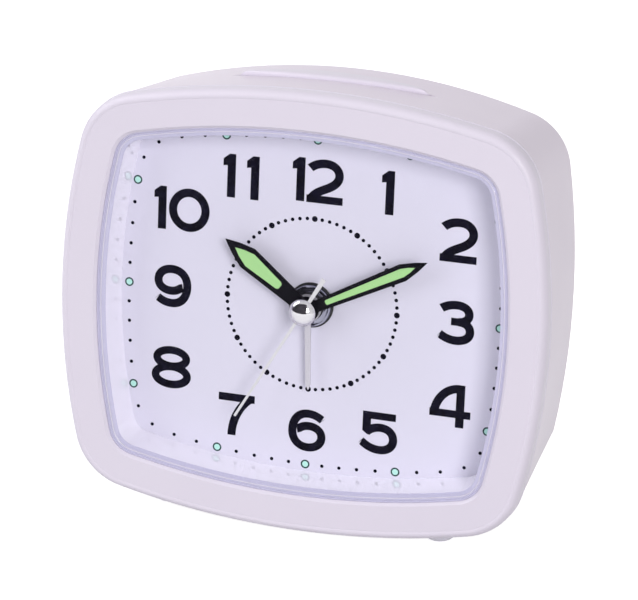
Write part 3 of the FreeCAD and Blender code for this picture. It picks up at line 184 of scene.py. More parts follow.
world = bpy.data.worlds.new("studio")
bpy.context.scene.world = world
world.use_nodes = True
world.node_tree.nodes.clear()
ambient = 0.36
air = Feed(world.node_tree)
air.add("ShaderNodeOutputWorld", {"Surface": air.add("ShaderNodeBackground", {
    "Color": (1.0, 1.0, 1.0, 1.0),
    "Strength": seen_direct(air) * (1.0 - ambient) + ambient})})

lamp_aim = Vector((0.0, 0.0, 0.05))
for name, place, width, power, tint in (
        ("front_lamp", (0.77, -1.18, 0.64), 0.5, 12.2, (1.0, 0.985, 0.97)),
        ("left_lamp", (-0.9, -0.9, 0.5), 0.7, 3.6, (0.97, 0.98, 1.0)),
        ("top_lamp", (-1.08, -0.05, 0.95), 0.8, 8.8, (1.0, 1.0, 1.0)),
        ("back_lamp", (-0.5, 1.5, 0.45), 0.9, 5.0, (1.0, 1.0, 1.0))):
    lamp_data = bpy.data.lights.new(name, "AREA")
    lamp_data.shape, lamp_data.size, lamp_data.size_y = "RECTANGLE", width, width * 1.3
    lamp_data.energy, lamp_data.color = power, tint
    lamp = bpy.data.objects.new(name, lamp_data)
    lamp.location = place
    lamp.rotation_mode = "QUATERNION"
    lamp.rotation_quaternion = (lamp_aim - Vector(place)).to_track_quat("-Z", "Y")
    lamp.visible_camera = False
    lamp.visible_glossy = name in ("front_lamp", "top_lamp")
    bpy.context.scene.collection.objects.link(lamp)


# ---- case, front frame, rear cover and battery door ----
# Injection-moulded ABS in a pearl lilac. The frame clips on to the shell from the front, the
# cover closes it at the rear with four screws, and the door hooks into the cover.
def dress_node(name, finish_used):
    nodes[name].data.materials.clear()
    nodes[name].data.materials.append(finish_used)


def bumped(sheet, height, strength, depth=0.0001):
    return sheet.add("ShaderNodeBump", {
        "Height": height, "Strength": strength, "Distance": depth})


def moulded(light, dark, rough, coat, texture, strength):
    """Pearly plastic. The mould's texture is given by its size in millimetres and strength."""
    def dress(sheet):
        flow = cloudy(sheet, 26.0, 2.0)
        pearl = cloudy(sheet, 0.35, 2.0)
        return sheet.add("ShaderNodeBsdfPrincipled", {
            "Base Color": blend(sheet, flow * 0.7 + pearl * 0.3, light, dark),
            "Roughness": flow * 0.06 + pearl * 0.05 + (rough - 0.055),
            "IOR": 1.45, "Specular IOR Level": 0.3, "Coat Weight": coat, "Coat Roughness": 0.14,
            "Normal": bumped(sheet, cloudy(sheet, texture, 3.0), strength)})
    return dress


shell_lilac = finish("case_lilac_pearl", moulded(
    (0.764, 0.714, 0.824), (0.716, 0.666, 0.776), 0.38, 0.08, 1.1, 0.10))
cover_lilac = finish("case_lilac_fine", moulded(
    (0.755, 0.704, 0.800), (0.705, 0.654, 0.750), 0.50, 0.05, 0.22, 0.45))
# This copy of the lilac for the shell is pinker than the frame's: painted warmer light on the shell's
# sides.
warm_light_shell_colour = finish("case_body_painted_warm_light", moulded(
    (0.776, 0.700, 0.816), (0.728, 0.652, 0.768), 0.38, 0.08, 1.1, 0.10))
dress_node("case_shell", warm_light_shell_colour)
dress_node("bezel", shell_lilac)
for node in ("rear_cover", "battery_door"):
    dress_node(node, cover_lilac)


# ---- light ring ----
# The ring behind the frame is clear lavender acrylic, polished, which spreads the lamp's
# light over the dial. Its faint lavender emission is painted glow, since the ring is no
# lamp: it lightens the ring and the frame's shade on the dial.
def grained(light, dark, size, detail, rough, sockets=None, skin=None):
    """A finish whose colour, gloss and skin follow one noise, with blotches of about size
    millimetres. The roughness goes from the first of two numbers to the second."""
    def dress(sheet):
        grain = cloudy(sheet, size, detail)
        values = {"Base Color": blend(sheet, grain, light, dark),
                  "Roughness": grain * (rough[1] - rough[0]) + rough[0], **(sockets or {})}
        if skin:
            values["Normal"] = bumped(sheet, grain, *skin)
        return sheet.add("ShaderNodeBsdfPrincipled", values)
    return dress


# The emission here is painted glow that lightens the ring and the shade beside it on the dial.
dress_node("light_ring", finish("ring_acrylic_painted_glow", grained(
    (0.945, 0.925, 1.0), (0.925, 0.905, 0.99), 14.0, 2.0, (0.03, 0.07),
    {"IOR": 1.62, "Coat Weight": 1.0, "Coat IOR": 1.6, "Coat Roughness": 0.02,
     "Emission Color": (0.90, 0.80, 0.95, 1.0), "Emission Strength": 0.05})))


# ---- dial with its print ----
# A satin card-like plate, pad-printed: numerals in near-black navy, a ring of 72 dots for
# the alarm hand, and a minute track of dots with mint hour marks in a dark outline.
def span_of(name, axis):
    places = [(Vector(v.co) - hub).dot(axis) * 1000.0 for v in nodes[name].data.vertices]
    return min(places), max(places)


dial_front = span_of("dial", backward)[0]
ink_height, ink_layer = 0.03, 0.008


def dial_satin(sheet):
    fibre = cloudy(sheet, 0.5, 4.0)
    drift = cloudy(sheet, 40.0, 1.0)
    return sheet.add("ShaderNodeBsdfPrincipled", {
        "Base Color": blend(sheet, drift * 0.6 + fibre * 0.4, (0.800, 0.780, 0.890),
                            (0.770, 0.750, 0.870)),
        "Roughness": fibre * 0.1 + 0.42, "IOR": 1.45, "Normal": bumped(sheet, fibre, 0.05)})


def printed(light, dark, gloss):
    def dress(sheet):
        mottle = cloudy(sheet, 1.3, 4.0)
        return sheet.add("ShaderNodeBsdfPrincipled", {
            "Base Color": blend(sheet, ((mottle - 0.35) * 3.0).held(0.0, 1.0), light, dark),
            "Roughness": mottle * 0.2 + 0.45, "Specular IOR Level": gloss,
            "Normal": bumped(sheet, mottle, 0.15, 0.00005)})
    return dress


dress_node("dial", finish("dial_satin", dial_satin))
navy_ink = finish("navy_ink", printed((0.004, 0.0035, 0.007), (0.011, 0.010, 0.024), 0.04))
teal_ink = finish("teal_ink", printed((0.035, 0.085, 0.080), (0.022, 0.060, 0.058), 0.1))
mint_ink = finish("mint_ink", printed((0.56, 0.93, 0.82), (0.50, 0.88, 0.76), 0.3))


def piece(name, points, faces, body, finish_used, slot, sharp=None):
    """A piece from points in the clock's millimetres. With a sharp angle in degrees, it is
    shaded smooth between edges sharper than that."""
    mesh = bpy.data.meshes.new(name)
    mesh.from_pydata([clock @ Vector(p) for p in points], [], faces)
    skin = bmesh.new()
    skin.from_mesh(mesh)
    bmesh.ops.recalc_face_normals(skin, faces=skin.faces)
    skin.to_mesh(mesh)
    skin.free()
    mesh.materials.append(finish_used)
    for face in mesh.polygons:
        face.use_smooth = sharp is not None
    if sharp is not None:
        mesh.set_sharp_from_angle(angle=math.radians(sharp))
    made = bpy.data.objects.new(name, mesh)
    bpy.context.scene.collection.objects.link(made)
    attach(made, body)
    return made


def bowed(*knots):
    """Points along cubic curves: corner, two pulls, corner, two pulls, corner and so on."""
    line = [Vector(knots[0])]
    for first in range(0, len(knots) - 3, 3):
        a, b, c, d = (Vector(k) for k in knots[first:first + 4])
        for step in range(1, 15):
            t = step / 14
            line.append(a * (1 - t) ** 3 + b * (3 * t * (1 - t) ** 2)
                        + c * (3 * t * t * (1 - t)) + d * t ** 3)
    return line


def oval(x, y, half_width, half_height, start=0.0, sweep=360.0, steps=40):
    return [Vector((x + half_width * math.cos(math.radians(start + sweep * i / steps)),
                    y + half_height * math.sin(math.radians(start + sweep * i / steps))))
            for i in range(steps + 1)]


def dot(x, y, radius, steps=20):
    return [tuple(p) for p in oval(x, y, radius, radius, steps=steps)[:-1]]


def ribbon(line, width, cut_start=None, cut_end=None):
    """Left and right edges of a stroke along a line, with mitred turns."""
    sides = []
    closed = (line[0] - line[-1]).length < 1e-6
    for i, point in enumerate(line):
        before = line[i - 1] if i else (line[-2] if closed else None)
        after = line[i + 1] if i + 1 < len(line) else (line[1] if closed else None)
        coming = (point - before).normalized() if before is not None else None
        going = (after - point).normalized() if after is not None else coming
        coming = coming or going
        middle = (coming + going).normalized()
        across = Vector((-middle.y, middle.x)) / max(0.3, middle.dot(going))
        if i == 0 and cut_start:
            across = Vector(cut_start)
        if i + 1 == len(line) and cut_end:
            across = Vector(cut_end)
        sides.append((point + across * width / 2, point - across * width / 2))
    return sides


def inked(shapes, place=(0.0, 0.0), level=0.0, facing=-1.0, layer=0.0):
    """Points and faces of thin shapes on a level: a ribbon's pairs or outlines. Facing gives
    their height in layers of ink, to the rear where it is above zero."""
    points, faces = [], []
    for order, shape in enumerate(shapes):
        low, high = level, level + facing * (ink_height + layer * order)
        first = len(points)
        if isinstance(shape[0][0], Vector):
            for left, right in shape:
                points += [(left.x + place[0], y, left.y + place[1]) for y in (low, high)]
                points += [(right.x + place[0], y, right.y + place[1]) for y in (low, high)]
            for i in range(first, len(points) - 4, 4):
                faces += [(i + 1, i + 5, i + 7, i + 3), (i, i + 4, i + 5, i + 1),
                          (i + 2, i + 3, i + 7, i + 6)]
            last = len(points) - 4
            faces += [(first, first + 1, first + 3, first + 2),
                      (last, last + 2, last + 3, last + 1)]
        else:
            count = len(shape)
            points += [(p[0] + place[0], low, p[1] + place[1]) for p in shape]
            points += [(p[0] + place[0], high, p[1] + place[1]) for p in shape]
            faces.append(tuple(range(first + count, first + 2 * count)))
            faces += [(first + i, first + (i + 1) % count, first + count + (i + 1) % count,
                       first + count + i) for i in range(count)]
    return points, faces


# Every figure is drawn from its lower left corner with an even stroke, and its flat bars
# are a little thinner.
figure_height, stroke, bar = 9.6, 1.86, 1.66
one = [[(0.95, 0), (2.81, 0), (2.81, figure_height), (1.4, figure_height), (0, 8.45), (0, 6.9),
        (0.95, 7.05)]]
two = [ribbon(bowed((0.72, 7.5), (1.75, 8.35), (2.8, 8.72), (4.2, 8.72), (5.9, 8.72), (7.2, 7.7),
                    (7.2, 6.25), (7.2, 4.9), (5.9, 3.95), (4.5, 3.3), (3.0, 2.6), (1.2, 1.9),
                    (0.98, 0.3)), stroke, cut_start=(-0.75, 0.75), cut_end=(1.0, 0.02)),
       ribbon([Vector((0.05, 0.8)), Vector((8.1, 0.8))], bar)]
three = [ribbon(bowed((0.75, 7.75), (1.9, 8.5), (3.0, 8.75), (4.1, 8.75), (5.7, 8.75), (6.85, 8.0),
                      (6.85, 6.85), (6.85, 5.7), (5.9, 5.1), (4.6, 5.05)), stroke,
                cut_start=(-0.6, 0.85)),
         ribbon([Vector((2.95, 5.05)), Vector((5.0, 5.05))], bar),
         ribbon(bowed((4.6, 5.1), (6.3, 5.1), (7.2, 4.2), (7.2, 3.0), (7.2, 1.7), (5.9, 0.9),
                      (4.1, 0.9), (2.8, 0.9), (1.6, 1.3), (0.5, 2.1)), stroke,
                cut_end=(0.6, 0.85))]
four = [ribbon(bowed((0.95, 2.1), (1.0, 5.6), (3.3, 8.75), (6.6, 8.7)), stroke,
               cut_start=(-1.0, 0.0), cut_end=(0.0, 1.0)),
        ribbon([Vector((0.03, 2.95)), Vector((9.1, 2.95))], bar),
        ribbon([Vector((6.75, 0)), Vector((6.75, figure_height))], stroke)]
five = [ribbon([Vector((0.8, 8.6)), Vector((8.2, 8.6))], bar),
        [(0.8, 9.4), (0.8, 4.95), (2.0, 4.1), (2.66, 4.85), (2.66, 9.0)],
        ribbon(bowed((1.75, 4.7), (2.6, 5.55), (3.6, 6.0), (4.8, 6.0), (6.6, 6.0), (7.8, 5.0),
                     (7.8, 3.4), (7.8, 1.9), (6.5, 0.9), (4.8, 0.9), (3.2, 0.9), (1.8, 1.5),
                     (0.55, 2.6)), stroke, cut_start=(-0.66, 0.75), cut_end=(0.68, 0.74))]
six = [ribbon(bowed((7.75, 7.45), (6.7, 8.3), (5.6, 8.65), (4.4, 8.65), (2.2, 8.65), (0.93, 6.9),
                    (0.93, 4.6), (0.93, 2.3), (2.4, 0.93), (4.5, 0.93), (6.3, 0.93), (7.6, 2.0),
                    (7.6, 3.5), (7.6, 4.9), (6.4, 5.85), (4.6, 5.85), (3.7, 5.85), (2.95, 5.55),
                    (2.25, 4.9)), stroke, cut_start=(0.72, 0.72), cut_end=(-0.12, -0.96))]
seven = [ribbon([Vector((0, 8.7)), Vector((8.3, 8.7))], bar + 0.1),
         ribbon(bowed((7.6, 9.0), (5.5, 7.6), (3.2, 4.3), (3.2, 0)), stroke,
                cut_start=(-0.75, 0.75), cut_end=(1.0, 0.0))]
eight = [ribbon(oval(4.5, 6.95, 3.4, 1.85), 1.76), ribbon(oval(4.5, 2.95, 3.68, 2.05), 1.78)]
nought = [ribbon(oval(4.65, 4.8, 3.72, 3.9), stroke)]


def turned_over(figure, width):
    """The same figure turned through half a turn, as 6 gives 9."""
    return [[(Vector((width - a.x, figure_height - a.y)), Vector((width - b.x, figure_height - b.y)))
             for a, b in shape] for shape in figure]


def beside(figure, offset):
    return [[tuple(p + Vector((offset, 0)) for p in pair) if isinstance(pair[0], Vector)
             else (pair[0] + offset, pair[1]) for pair in shape] for shape in figure]


# Each row gives a figure's width and the place of its middle on the dial.
figures = (
    ("one", one, 2.9, 15.9, 26.7), ("two", two, 8.1, 31.8, 18.1), ("three", three, 8.2, 32.2, 0.0),
    ("four", four, 9.2, 31.9, -18.5), ("five", five, 8.8, 16.2, -26.9), ("six", six, 8.7, 0.2, -28.6),
    ("seven", seven, 8.3, -16.2, -27.25), ("eight", eight, 9.0, -31.5, -18.4),
    ("nine", turned_over(six, 8.6), 8.6, -31.7, 0.2),
    ("ten", one + beside(nought, 3.4), 12.0, -30.4, 17.7),
    ("eleven", one + beside(one, 5.3), 7.95, -16.9, 26.5),
    ("twelve", one + beside(two, 3.25), 11.3, 0.3, 27.5))
for name, figure, width, x, z in figures:
    points, faces = inked(figure, (x - width / 2, z - figure_height / 2), dial_front, layer=ink_layer)
    piece("figure_" + name, points, faces, "case", navy_ink, "hub_black")

alarm_ring, hour_dot, alarm_dot = 19.1, 0.64, 0.40
alarm_dots = []
for step in range(72):
    turn = math.radians(step * 5.0)
    alarm_dots.append(dot(alarm_ring * math.sin(turn), alarm_ring * math.cos(turn),
                          hour_dot if step % 6 == 0 else alarm_dot))
piece("alarm_ring_dots", *inked(alarm_dots, level=dial_front), "case", navy_ink, "hub_black")

# The minute track keeps an even distance from the opening, whose sides bow outwards, so
# each mark's reach from the centre is found by halving.
track_width, track_height, track_bow, track_square = 41.75, 36.4, 190.0, 14
minute_dot, mark_outline, mark_radius, mark_fill = 0.39, 0.32, 0.84, 0.74
minute_dots, mark_rims, mark_fills = [], [], []
for step in range(60):
    turn = math.radians(step * 6.0)
    x, z = math.sin(turn), math.cos(turn)
    near, far = 20.0, 60.0
    for _ in range(40):
        reach = (near + far) / 2
        side = (abs(x) * reach + (z * reach) ** 2 / (2 * track_bow)) / track_width
        top = (abs(z) * reach + (x * reach) ** 2 / (2 * track_bow)) / track_height
        inside = side ** track_square + top ** track_square < 1
        near, far = (reach, far) if inside else (near, reach)
    spot = x * reach, z * reach
    if step % 5 == 0:
        mark_rims.append(ribbon(oval(*spot, mark_radius, mark_radius, steps=28), mark_outline))
        mark_fills.append(dot(*spot, mark_fill, 28))
    else:
        minute_dots.append(dot(*spot, minute_dot))
for name, marks, level, ink, slot in (
        ("minute_track_dots", minute_dots, dial_front, navy_ink, "hub_black"),
        ("hour_mark_outlines", mark_rims, dial_front, teal_ink, "hub_black"),
        ("hour_marks", mark_fills, dial_front + ink_layer, mint_ink, "lume")):
    piece(name, *inked(marks, level=level), "case", ink, slot)


# ---- crystal ----
# A clear acrylic pane with a bevelled front edge. A lavender rim with a rib is moulded round
# its back, sloping inwards, and is glued into the frame. The rib's pale colour is a painted
# highlight, and the rim's lavender is deepened with painted shade beside the rib.
def window_pane(sheet):
    haze = cloudy(sheet, 20.0, 2.0)
    sheen = sheet.add("ShaderNodeBsdfGlossy", {
        "Color": (0.95, 0.95, 1.0, 1.0), "Roughness": 0.04})
    clear = sheet.add("ShaderNodeBsdfTransparent", {"Color": (0.985, 0.985, 0.995, 1.0)})
    slant = sheet.add("ShaderNodeLayerWeight", {"Blend": 0.5}, out=1)
    mirror = slant * slant * slant * slant * 0.5
    return sheet.add("ShaderNodeMixShader", {
        0: (mirror + haze * 0.002).held(0.0, 1.0), 1: clear, 2: sheen})


def tinted_acrylic(light, dark):
    def dress(sheet):
        drift = cloudy(sheet, 9.0, 2.0)
        tinted = sheet.add("ShaderNodeBsdfPrincipled", {
            "Base Color": blend(sheet, drift, light, dark),
            "Roughness": drift * 0.1 + 0.05, "Coat Weight": 0.6, "Coat Roughness": 0.03})
        clear = sheet.add("ShaderNodeBsdfTransparent", {"Color": (0.86, 0.85, 0.96, 1.0)})
        return sheet.add("ShaderNodeMixShader", {
            0: (drift * 0.2 + 0.72).held(0.0, 1.0), 1: clear, 2: tinted})
    return dress


def edge_ends(name, level, within):
    """Where a node's corners lie on a plane across the clock's axis, seen from the front."""
    corners = (clock.inverted() @ v.co for v in nodes[name].data.vertices)
    return [(p.x, p.z) for p in corners if abs(p.y - level) < within]


def set_in(loop, inset):
    moved = []
    for order, (x, z) in enumerate(loop):
        before, after = Vector(loop[order - 1]), Vector(loop[(order + 1) % len(loop)])
        along = (after - before).normalized()
        moved.append((x - along.y * inset, z + along.x * inset))
    return moved


def lofted(rings, joined=False):
    """Points and faces of a skin over equal rings of points, capped or joined end to end."""
    count, rows = len(rings[0]), len(rings)
    points = [point for ring in rings for point in ring]
    faces = []
    for row in range(rows if joined else rows - 1):
        first, second = row * count, (row + 1) % rows * count
        faces += [(first + n, first + (n + 1) % count, second + (n + 1) % count, second + n)
                  for n in range(count)]
    if not joined:
        faces += [tuple(range(count)), tuple(range((rows - 1) * count, rows * count))]
    return points, faces


def framed(loop, profile, joined):
    """A profile of insets and depths, carried round a loop."""
    return lofted([[(x, depth, z) for x, z in set_in(loop, inset)] for inset, depth in profile],
                  joined)


pane_front, pane_back = span_of("crystal", backward)
pane_edge = sorted({(round(x, 3), round(z, 3)) for x, z in edge_ends("crystal", pane_back, 0.01)},
                   key=lambda p: math.atan2(p[1], p[0]))
pane_bevel = ((0.45, pane_front), (0.30, pane_front + 0.06), (0.10, pane_front + 0.22),
              (0.0, pane_front + 0.45), (0.0, pane_front + 0.55))
rim_profile = ((-0.13, pane_front + 0.60), (0.16, pane_front + 0.60), (0.32, pane_front + 0.82),
               (0.98, pane_front + 0.82), (1.60, pane_back - 0.20), (1.68, pane_back - 0.02),
               (-0.13, pane_back - 0.02))
rib_profile = ((0.58, pane_front + 0.85), (0.62, pane_front + 0.66), (0.70, pane_front + 0.60),
               (0.80, pane_front + 0.60), (0.88, pane_front + 0.66), (0.92, pane_front + 0.85))
# The rim's colour is its lavender tint deepened with painted shade; the rib's paler copy is a painted
# highlight.
rim_lavender_painted_shade = finish("rim_lavender_painted_shade", tinted_acrylic((0.74, 0.715, 0.89), (0.67, 0.645, 0.84)))
rib_painted_highlight = finish("rib_painted_highlight", tinted_acrylic((0.89, 0.86, 0.96), (0.85, 0.82, 0.93)))
for name, profile, joined, used in (
        ("crystal_pane", pane_bevel, False, finish("window_pane", window_pane)),
        ("crystal_rim", rim_profile, True, rim_lavender_painted_shade),
        ("crystal_rib", rib_profile, True, rib_painted_highlight)):
    made = piece(name, *framed(pane_edge, profile, joined), "case", used, "clear", 18.0)
    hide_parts("crystal")


# ---- rolled edge of the frame ----
# The frame's outer corner is moulded as a rolled edge that stands a little proud of its
# face, and ends in a fine lip where the frame closes on to the shell.
face_level = span_of("bezel", backward)[0]
seam = span_of("case_shell", backward)[0]
seam_ends = edge_ends("case_shell", seam, 0.02)
seam_edge = [seam_ends[n] for n in convex_hull_2d(seam_ends)]
roll = [Vector(p) for p in ((1.98, 0.08), (1.88, 0.01), (1.74, -0.06), (1.58, -0.10))]
roll += bowed((1.42, -0.11), (0.85, -0.11), (-0.05, 0.75), (-0.05, 2.2))
lip = ((-0.05, -0.42), (-0.15, -0.32), (-0.19, -0.20), (-0.16, -0.08), (-0.03, 0.0), (0.5, -0.05))
inside_wall = ((0.5, 2.2), (1.9, 0.6))
edge_profile = [(inset, face_level + depth) for inset, depth in roll]
edge_profile += [(inset, seam + depth) for inset, depth in lip]
edge_profile += [(inset, face_level + depth) for inset, depth in inside_wall]
piece("frame_edge", *framed(seam_edge, edge_profile, True), "case", shell_lilac, "case_lilac", 40.0)


# ---- hub: washer and nut ----
# A rubber washer and a ring nut hold the movement to the dial. The nut is turned with
# stepped rings and plated in black chrome.
def turned(profile, level, facing, x=0.0, z=0.0, steps=64, joined=False):
    """A profile of radii and heights, turned round an axis that runs front to back."""
    return lofted([[(x + radius * math.cos(math.tau * i / steps), level + facing * height,
                     z + radius * math.sin(math.tau * i / steps)) for i in range(steps)]
                   for radius, height in profile], joined)


black_chrome = finish("black_gloss", grained(
    (0.36, 0.36, 0.43), (0.24, 0.24, 0.31), 3.0, 3.0, (0.08, 0.16), {"Metallic": 0.9}))
soft_black = finish("black_rubber", grained(
    (0.016, 0.016, 0.018), (0.03, 0.03, 0.032), 0.8, 4.0, (0.5, 0.7), skin=(0.2, 0.00005)))
dress_node("washer", soft_black)
nut_front, nut_back = span_of("nut", backward)
nut_radius = span_of("nut", rightward)[1]
nut_bore = min((Vector(v.co) - hub - (Vector(v.co) - hub).project(backward)).length
               for v in nodes["nut"].data.vertices) * 1000.0
# Shares of the way from the rim to the bore, and of the nut's height.
nut_steps = ((0.0, 0.0), (0.0, 0.55), (0.1, 0.8), (0.26, 0.8), (0.3, 0.15), (0.42, 0.15),
             (0.46, 0.92), (0.58, 1.0), (1.0, 1.0), (1.0, 0.0))
points, faces = turned([
    (nut_radius + (nut_bore - nut_radius) * inward, (nut_back - nut_front) * rise)
    for inward, rise in nut_steps], nut_back, -1.0, joined=True)
nut = piece("ring_nut", points, faces, "case", black_chrome, "hub_black", 20.0)
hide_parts("nut")


# ---- hands ----
# Punched aluminium. Hour and minute hands are painted satin black around a window filled
# with pale green luminous paste; the alarm and second hands are silver-white and bare.
def luminous_paste(sheet):
    grain = cloudy(sheet, 0.25, 4.0)
    drift = cloudy(sheet, 4.0, 2.0)
    return sheet.add("ShaderNodeBsdfPrincipled", {
        "Base Color": blend(sheet, grain * 0.5 + drift * 0.5, (0.46, 0.79, 0.33),
                            (0.40, 0.73, 0.29)),
        "Roughness": grain * 0.2 + 0.6, "Normal": bumped(sheet, grain, 0.3, 0.00005)})


def silvered(light, dark):
    return grained(light, dark, 0.7, 4.0, (0.32, 0.47), {"Metallic": 0.35})


satin_black = finish("hand_black", grained(
    (0.003, 0.003, 0.005), (0.010, 0.009, 0.014), 0.6, 4.0, (0.36, 0.56),
    {"Specular IOR Level": 0.07}, (0.08, 0.00005)))
lume = finish("luminous_paste", luminous_paste)
hand_silver = finish("hand_silver", silvered((0.80, 0.79, 0.80), (0.70, 0.69, 0.71)))
hand_grey = finish("hand_grey", silvered((0.68, 0.66, 0.71), (0.60, 0.58, 0.63)))
chrome = finish("chrome", grained(
    (0.67, 0.66, 0.66), (0.63, 0.62, 0.63), 2.0, 2.0, (0.03, 0.06), {"Metallic": 1.0}))
for node, used in (("hour_hand", satin_black), ("minute_hand", satin_black),
                   ("hour_lume", lume), ("minute_lume", lume), ("alarm_hand", hand_grey),
                   ("second_hand", hand_silver)):
    dress_node(node, used)

# The second hand's cap is a chromed dome, part of a ball that its height and radius give.
cap_front, cap_back = span_of("second_cap", backward)
cap_radius = span_of("second_cap", rightward)[1]
cap_rise = cap_back - cap_front
ball = (cap_radius ** 2 + cap_rise ** 2) / (2 * cap_rise)
cap_rings, rim_angle = 20, math.asin(cap_radius / ball)
cap_angles = [rim_angle * (1 - n / cap_rings) for n in range(cap_rings)]
points, faces = turned([
    (ball * math.sin(angle), cap_rise - ball * (1 - math.cos(angle))) for angle in cap_angles],
    cap_back, -1.0)
cap = piece("domed_cap", points, faces, "second_hand", chrome, "cap_chrome", 30.0)
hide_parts("second_cap")


# ---- press bar for the light ----
# Moulded from the same ABS as the case, with a crowned top and rounded edges. It lies in a
# pointed slot in the top, and a flange under the wall holds it in.
def together(*shapes):
    points, faces = [], []
    for more_points, more_faces in shapes:
        faces += [tuple(n + len(points) for n in face) for face in more_faces]
        points += more_points
    return points, faces


bar_high = span_of("light_bar", upward)[1]
bar_fore, bar_rear = span_of("light_bar", backward)
bar_middle = (bar_fore + bar_rear) / 2
bar_half, bar_reach, bar_point, bar_skirt, bar_bow = 20.9, 2.78, 22.2, 5.5, 322.0
bar_proud, side_fall, end_fall, bar_steps = 0.2, 0.6, 0.9, 48
flange_half, flange_top, flange_foot, flange_steps = 20.8, 45.3, 44.2, 24
across = (-1.0, -0.97, -0.88, -0.72, -0.45, 0.0, 0.45, 0.72, 0.88, 0.97, 1.0)
body_rings, flange_rings = [], []
for step in range(bar_steps + 1):
    share = math.sin(math.radians(180.0 * step / bar_steps - 90.0))
    x = bar_half * share
    reach = bar_reach * (1.0 - (x / bar_point) ** 2) * (1.0 - 0.98 * abs(share) ** 40)
    crown = bar_high + bar_proud - x * x / bar_bow - end_fall * abs(share) ** 24
    foot = bar_high - bar_skirt
    ring = [(x, bar_middle + reach * side, crown - side_fall * side ** 8) for side in across]
    body_rings.append([(x, bar_middle - reach, foot), *ring, (x, bar_middle + reach, foot)])
for step in range(flange_steps + 1):
    x = flange_half * (2.0 * step / flange_steps - 1.0)
    flange_rings.append([(x, y, z - x * x / bar_bow) for y, z in (
        (bar_fore, flange_top), (bar_rear, flange_top),
        (bar_rear, flange_foot), (bar_fore, flange_foot))])
press_bar = piece("press_bar", *together(lofted(body_rings), lofted(flange_rings)), "light_bar",
                  shell_lilac, "case_lilac", 35.0)
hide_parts("light_bar")


# ---- setting knobs and alarm switch ----
# Two ribbed knobs, pressed on the movement's setting shafts, and a small slide for the
# alarm between them. Each has its sign moulded on the cover: hands, a bell and arrows.
for node in ("alarm_knob", "time_knob"):
    dress_node(node, shell_lilac)
dress_node("alarm_slide", finish("slide_cream", moulded(
    (0.80, 0.76, 0.80), (0.74, 0.70, 0.75), 0.42, 0.1, 0.4, 0.2)))
sign_grey = finish("sign_grey", moulded((0.30, 0.28, 0.34), (0.26, 0.24, 0.30), 0.5, 0.0, 0.3, 0.2))
cover_back = span_of("rear_cover", backward)[1]
arrow_radius, sign_rise, sign_layers = 9.6, 13.6, 5.0
arrow_line, sign_line, hand_line = 0.5, 0.42, 0.38
head_half, head_length = 0.95, 1.9


def knob_place(joint):
    offset = Vector(joints[joint]["pos_m"]) - hub
    return offset.dot(rightward) * 1000.0, offset.dot(upward) * 1000.0


def arrow_round(x, z, start, sweep):
    """A curved arrow with its head at the end of the sweep."""
    line = oval(x, z, arrow_radius, arrow_radius, start, sweep, 20)
    tip = line[-1]
    out = (tip - Vector((x, z))).normalized()
    ahead = Vector((-out.y, out.x)) * (1 if sweep > 0 else -1)
    head = [tuple(tip + out * head_half), tuple(tip + ahead * head_length),
            tuple(tip - out * head_half)]
    return [ribbon(line, arrow_line), head]


alarm_x, alarm_z = knob_place("alarm_knob_turn")
time_x, time_z = knob_place("time_knob_turn")
signs = arrow_round(alarm_x, alarm_z, 60, 60) + arrow_round(time_x, time_z, 120, -60)
bell_x, bell_z = alarm_x, alarm_z + sign_rise
bell = ((-1.9, -1.3), (1.9, -1.3), (1.35, -0.6), (1.2, 0.7), (0.7, 1.5), (0, 1.75), (-0.7, 1.5),
        (-1.2, 0.7), (-1.35, -0.6), (-1.9, -1.3))
signs += [ribbon([Vector((bell_x + x, bell_z + z)) for x, z in bell], sign_line),
          dot(bell_x, bell_z - 1.85, 0.45, 14)]
face_x, face_z = time_x, time_z + sign_rise
signs += [ribbon(oval(face_x, face_z, 1.9, 1.9, steps=32), sign_line),
          ribbon([Vector((face_x, face_z + 1.3)), Vector((face_x, face_z)),
                  Vector((face_x - 0.95, face_z - 0.55))], hand_line)]
piece("cover_signs", *inked(signs, level=cover_back, facing=sign_layers), "case", sign_grey,
      "case_lilac")


# ---- cover screws ----
# Four zinc-plated self-tapping screws with low domed heads and a cross recess hold the
# cover to the shell's posts.
screw_across, screw_rise, head_radius, head_height = 44.4, 24.0, 2.6, 1.05
head_profile = ((head_radius - 0.12, 0.0), (head_radius, 0.14), (head_radius, 0.34),
                (head_radius * 0.88, 0.68), (head_radius * 0.62, 0.92),
                (head_radius * 0.3, head_height))
zinc = finish("zinc_plate", grained(
    (0.62, 0.63, 0.66), (0.50, 0.51, 0.55), 1.2, 4.0, (0.22, 0.42), {"Metallic": 1.0}))


def cross_recess(x, z, turn):
    """Two crossed wedges that taper into the head."""
    wedges = []
    for angle in (turn, turn + math.pi / 2):
        cosine, sine = math.cos(angle), math.sin(angle)
        rings = []
        for depth, long_half, thin_half in ((0.05, 0.5, 0.2), (1.5, 1.75, 0.36)):
            corners = [(a * long_half, b * thin_half) for a, b in ((-1, -1), (1, -1), (1, 1), (-1, 1))]
            rings.append([(x + u * cosine - v * sine, cover_back + depth, z + u * sine + v * cosine)
                          for u, v in corners])
        wedges.append(lofted(rings))
    return together(*wedges)


for name, right, up, turn in (("low_left", -1, -1, 0.3), ("low_right", 1, -1, 1.1),
                              ("top_left", -1, 1, 0.8), ("top_right", 1, 1, 0.1)):
    x, z = right * screw_across, up * screw_rise
    points, faces = turned(head_profile, cover_back - 0.02, 1.0, x, z, 40)
    screw = piece("screw_" + name, points, faces, "case", zinc, "steel")
    cutter = piece("cross_" + name, *cross_recess(x, z, turn), "case", zinc, "steel")
    cut = screw.modifiers.new("cross", "BOOLEAN")
    cut.object, cut.operation, cut.solver = cutter, "DIFFERENCE", "EXACT"
    cut.use_self = True
    bpy.context.view_layer.update()
    carved = bpy.data.meshes.new_from_object(
        screw.evaluated_get(bpy.context.evaluated_depsgraph_get()))
    screw.modifiers.clear()
    screw.data = carved
    bpy.data.objects.remove(cutter)


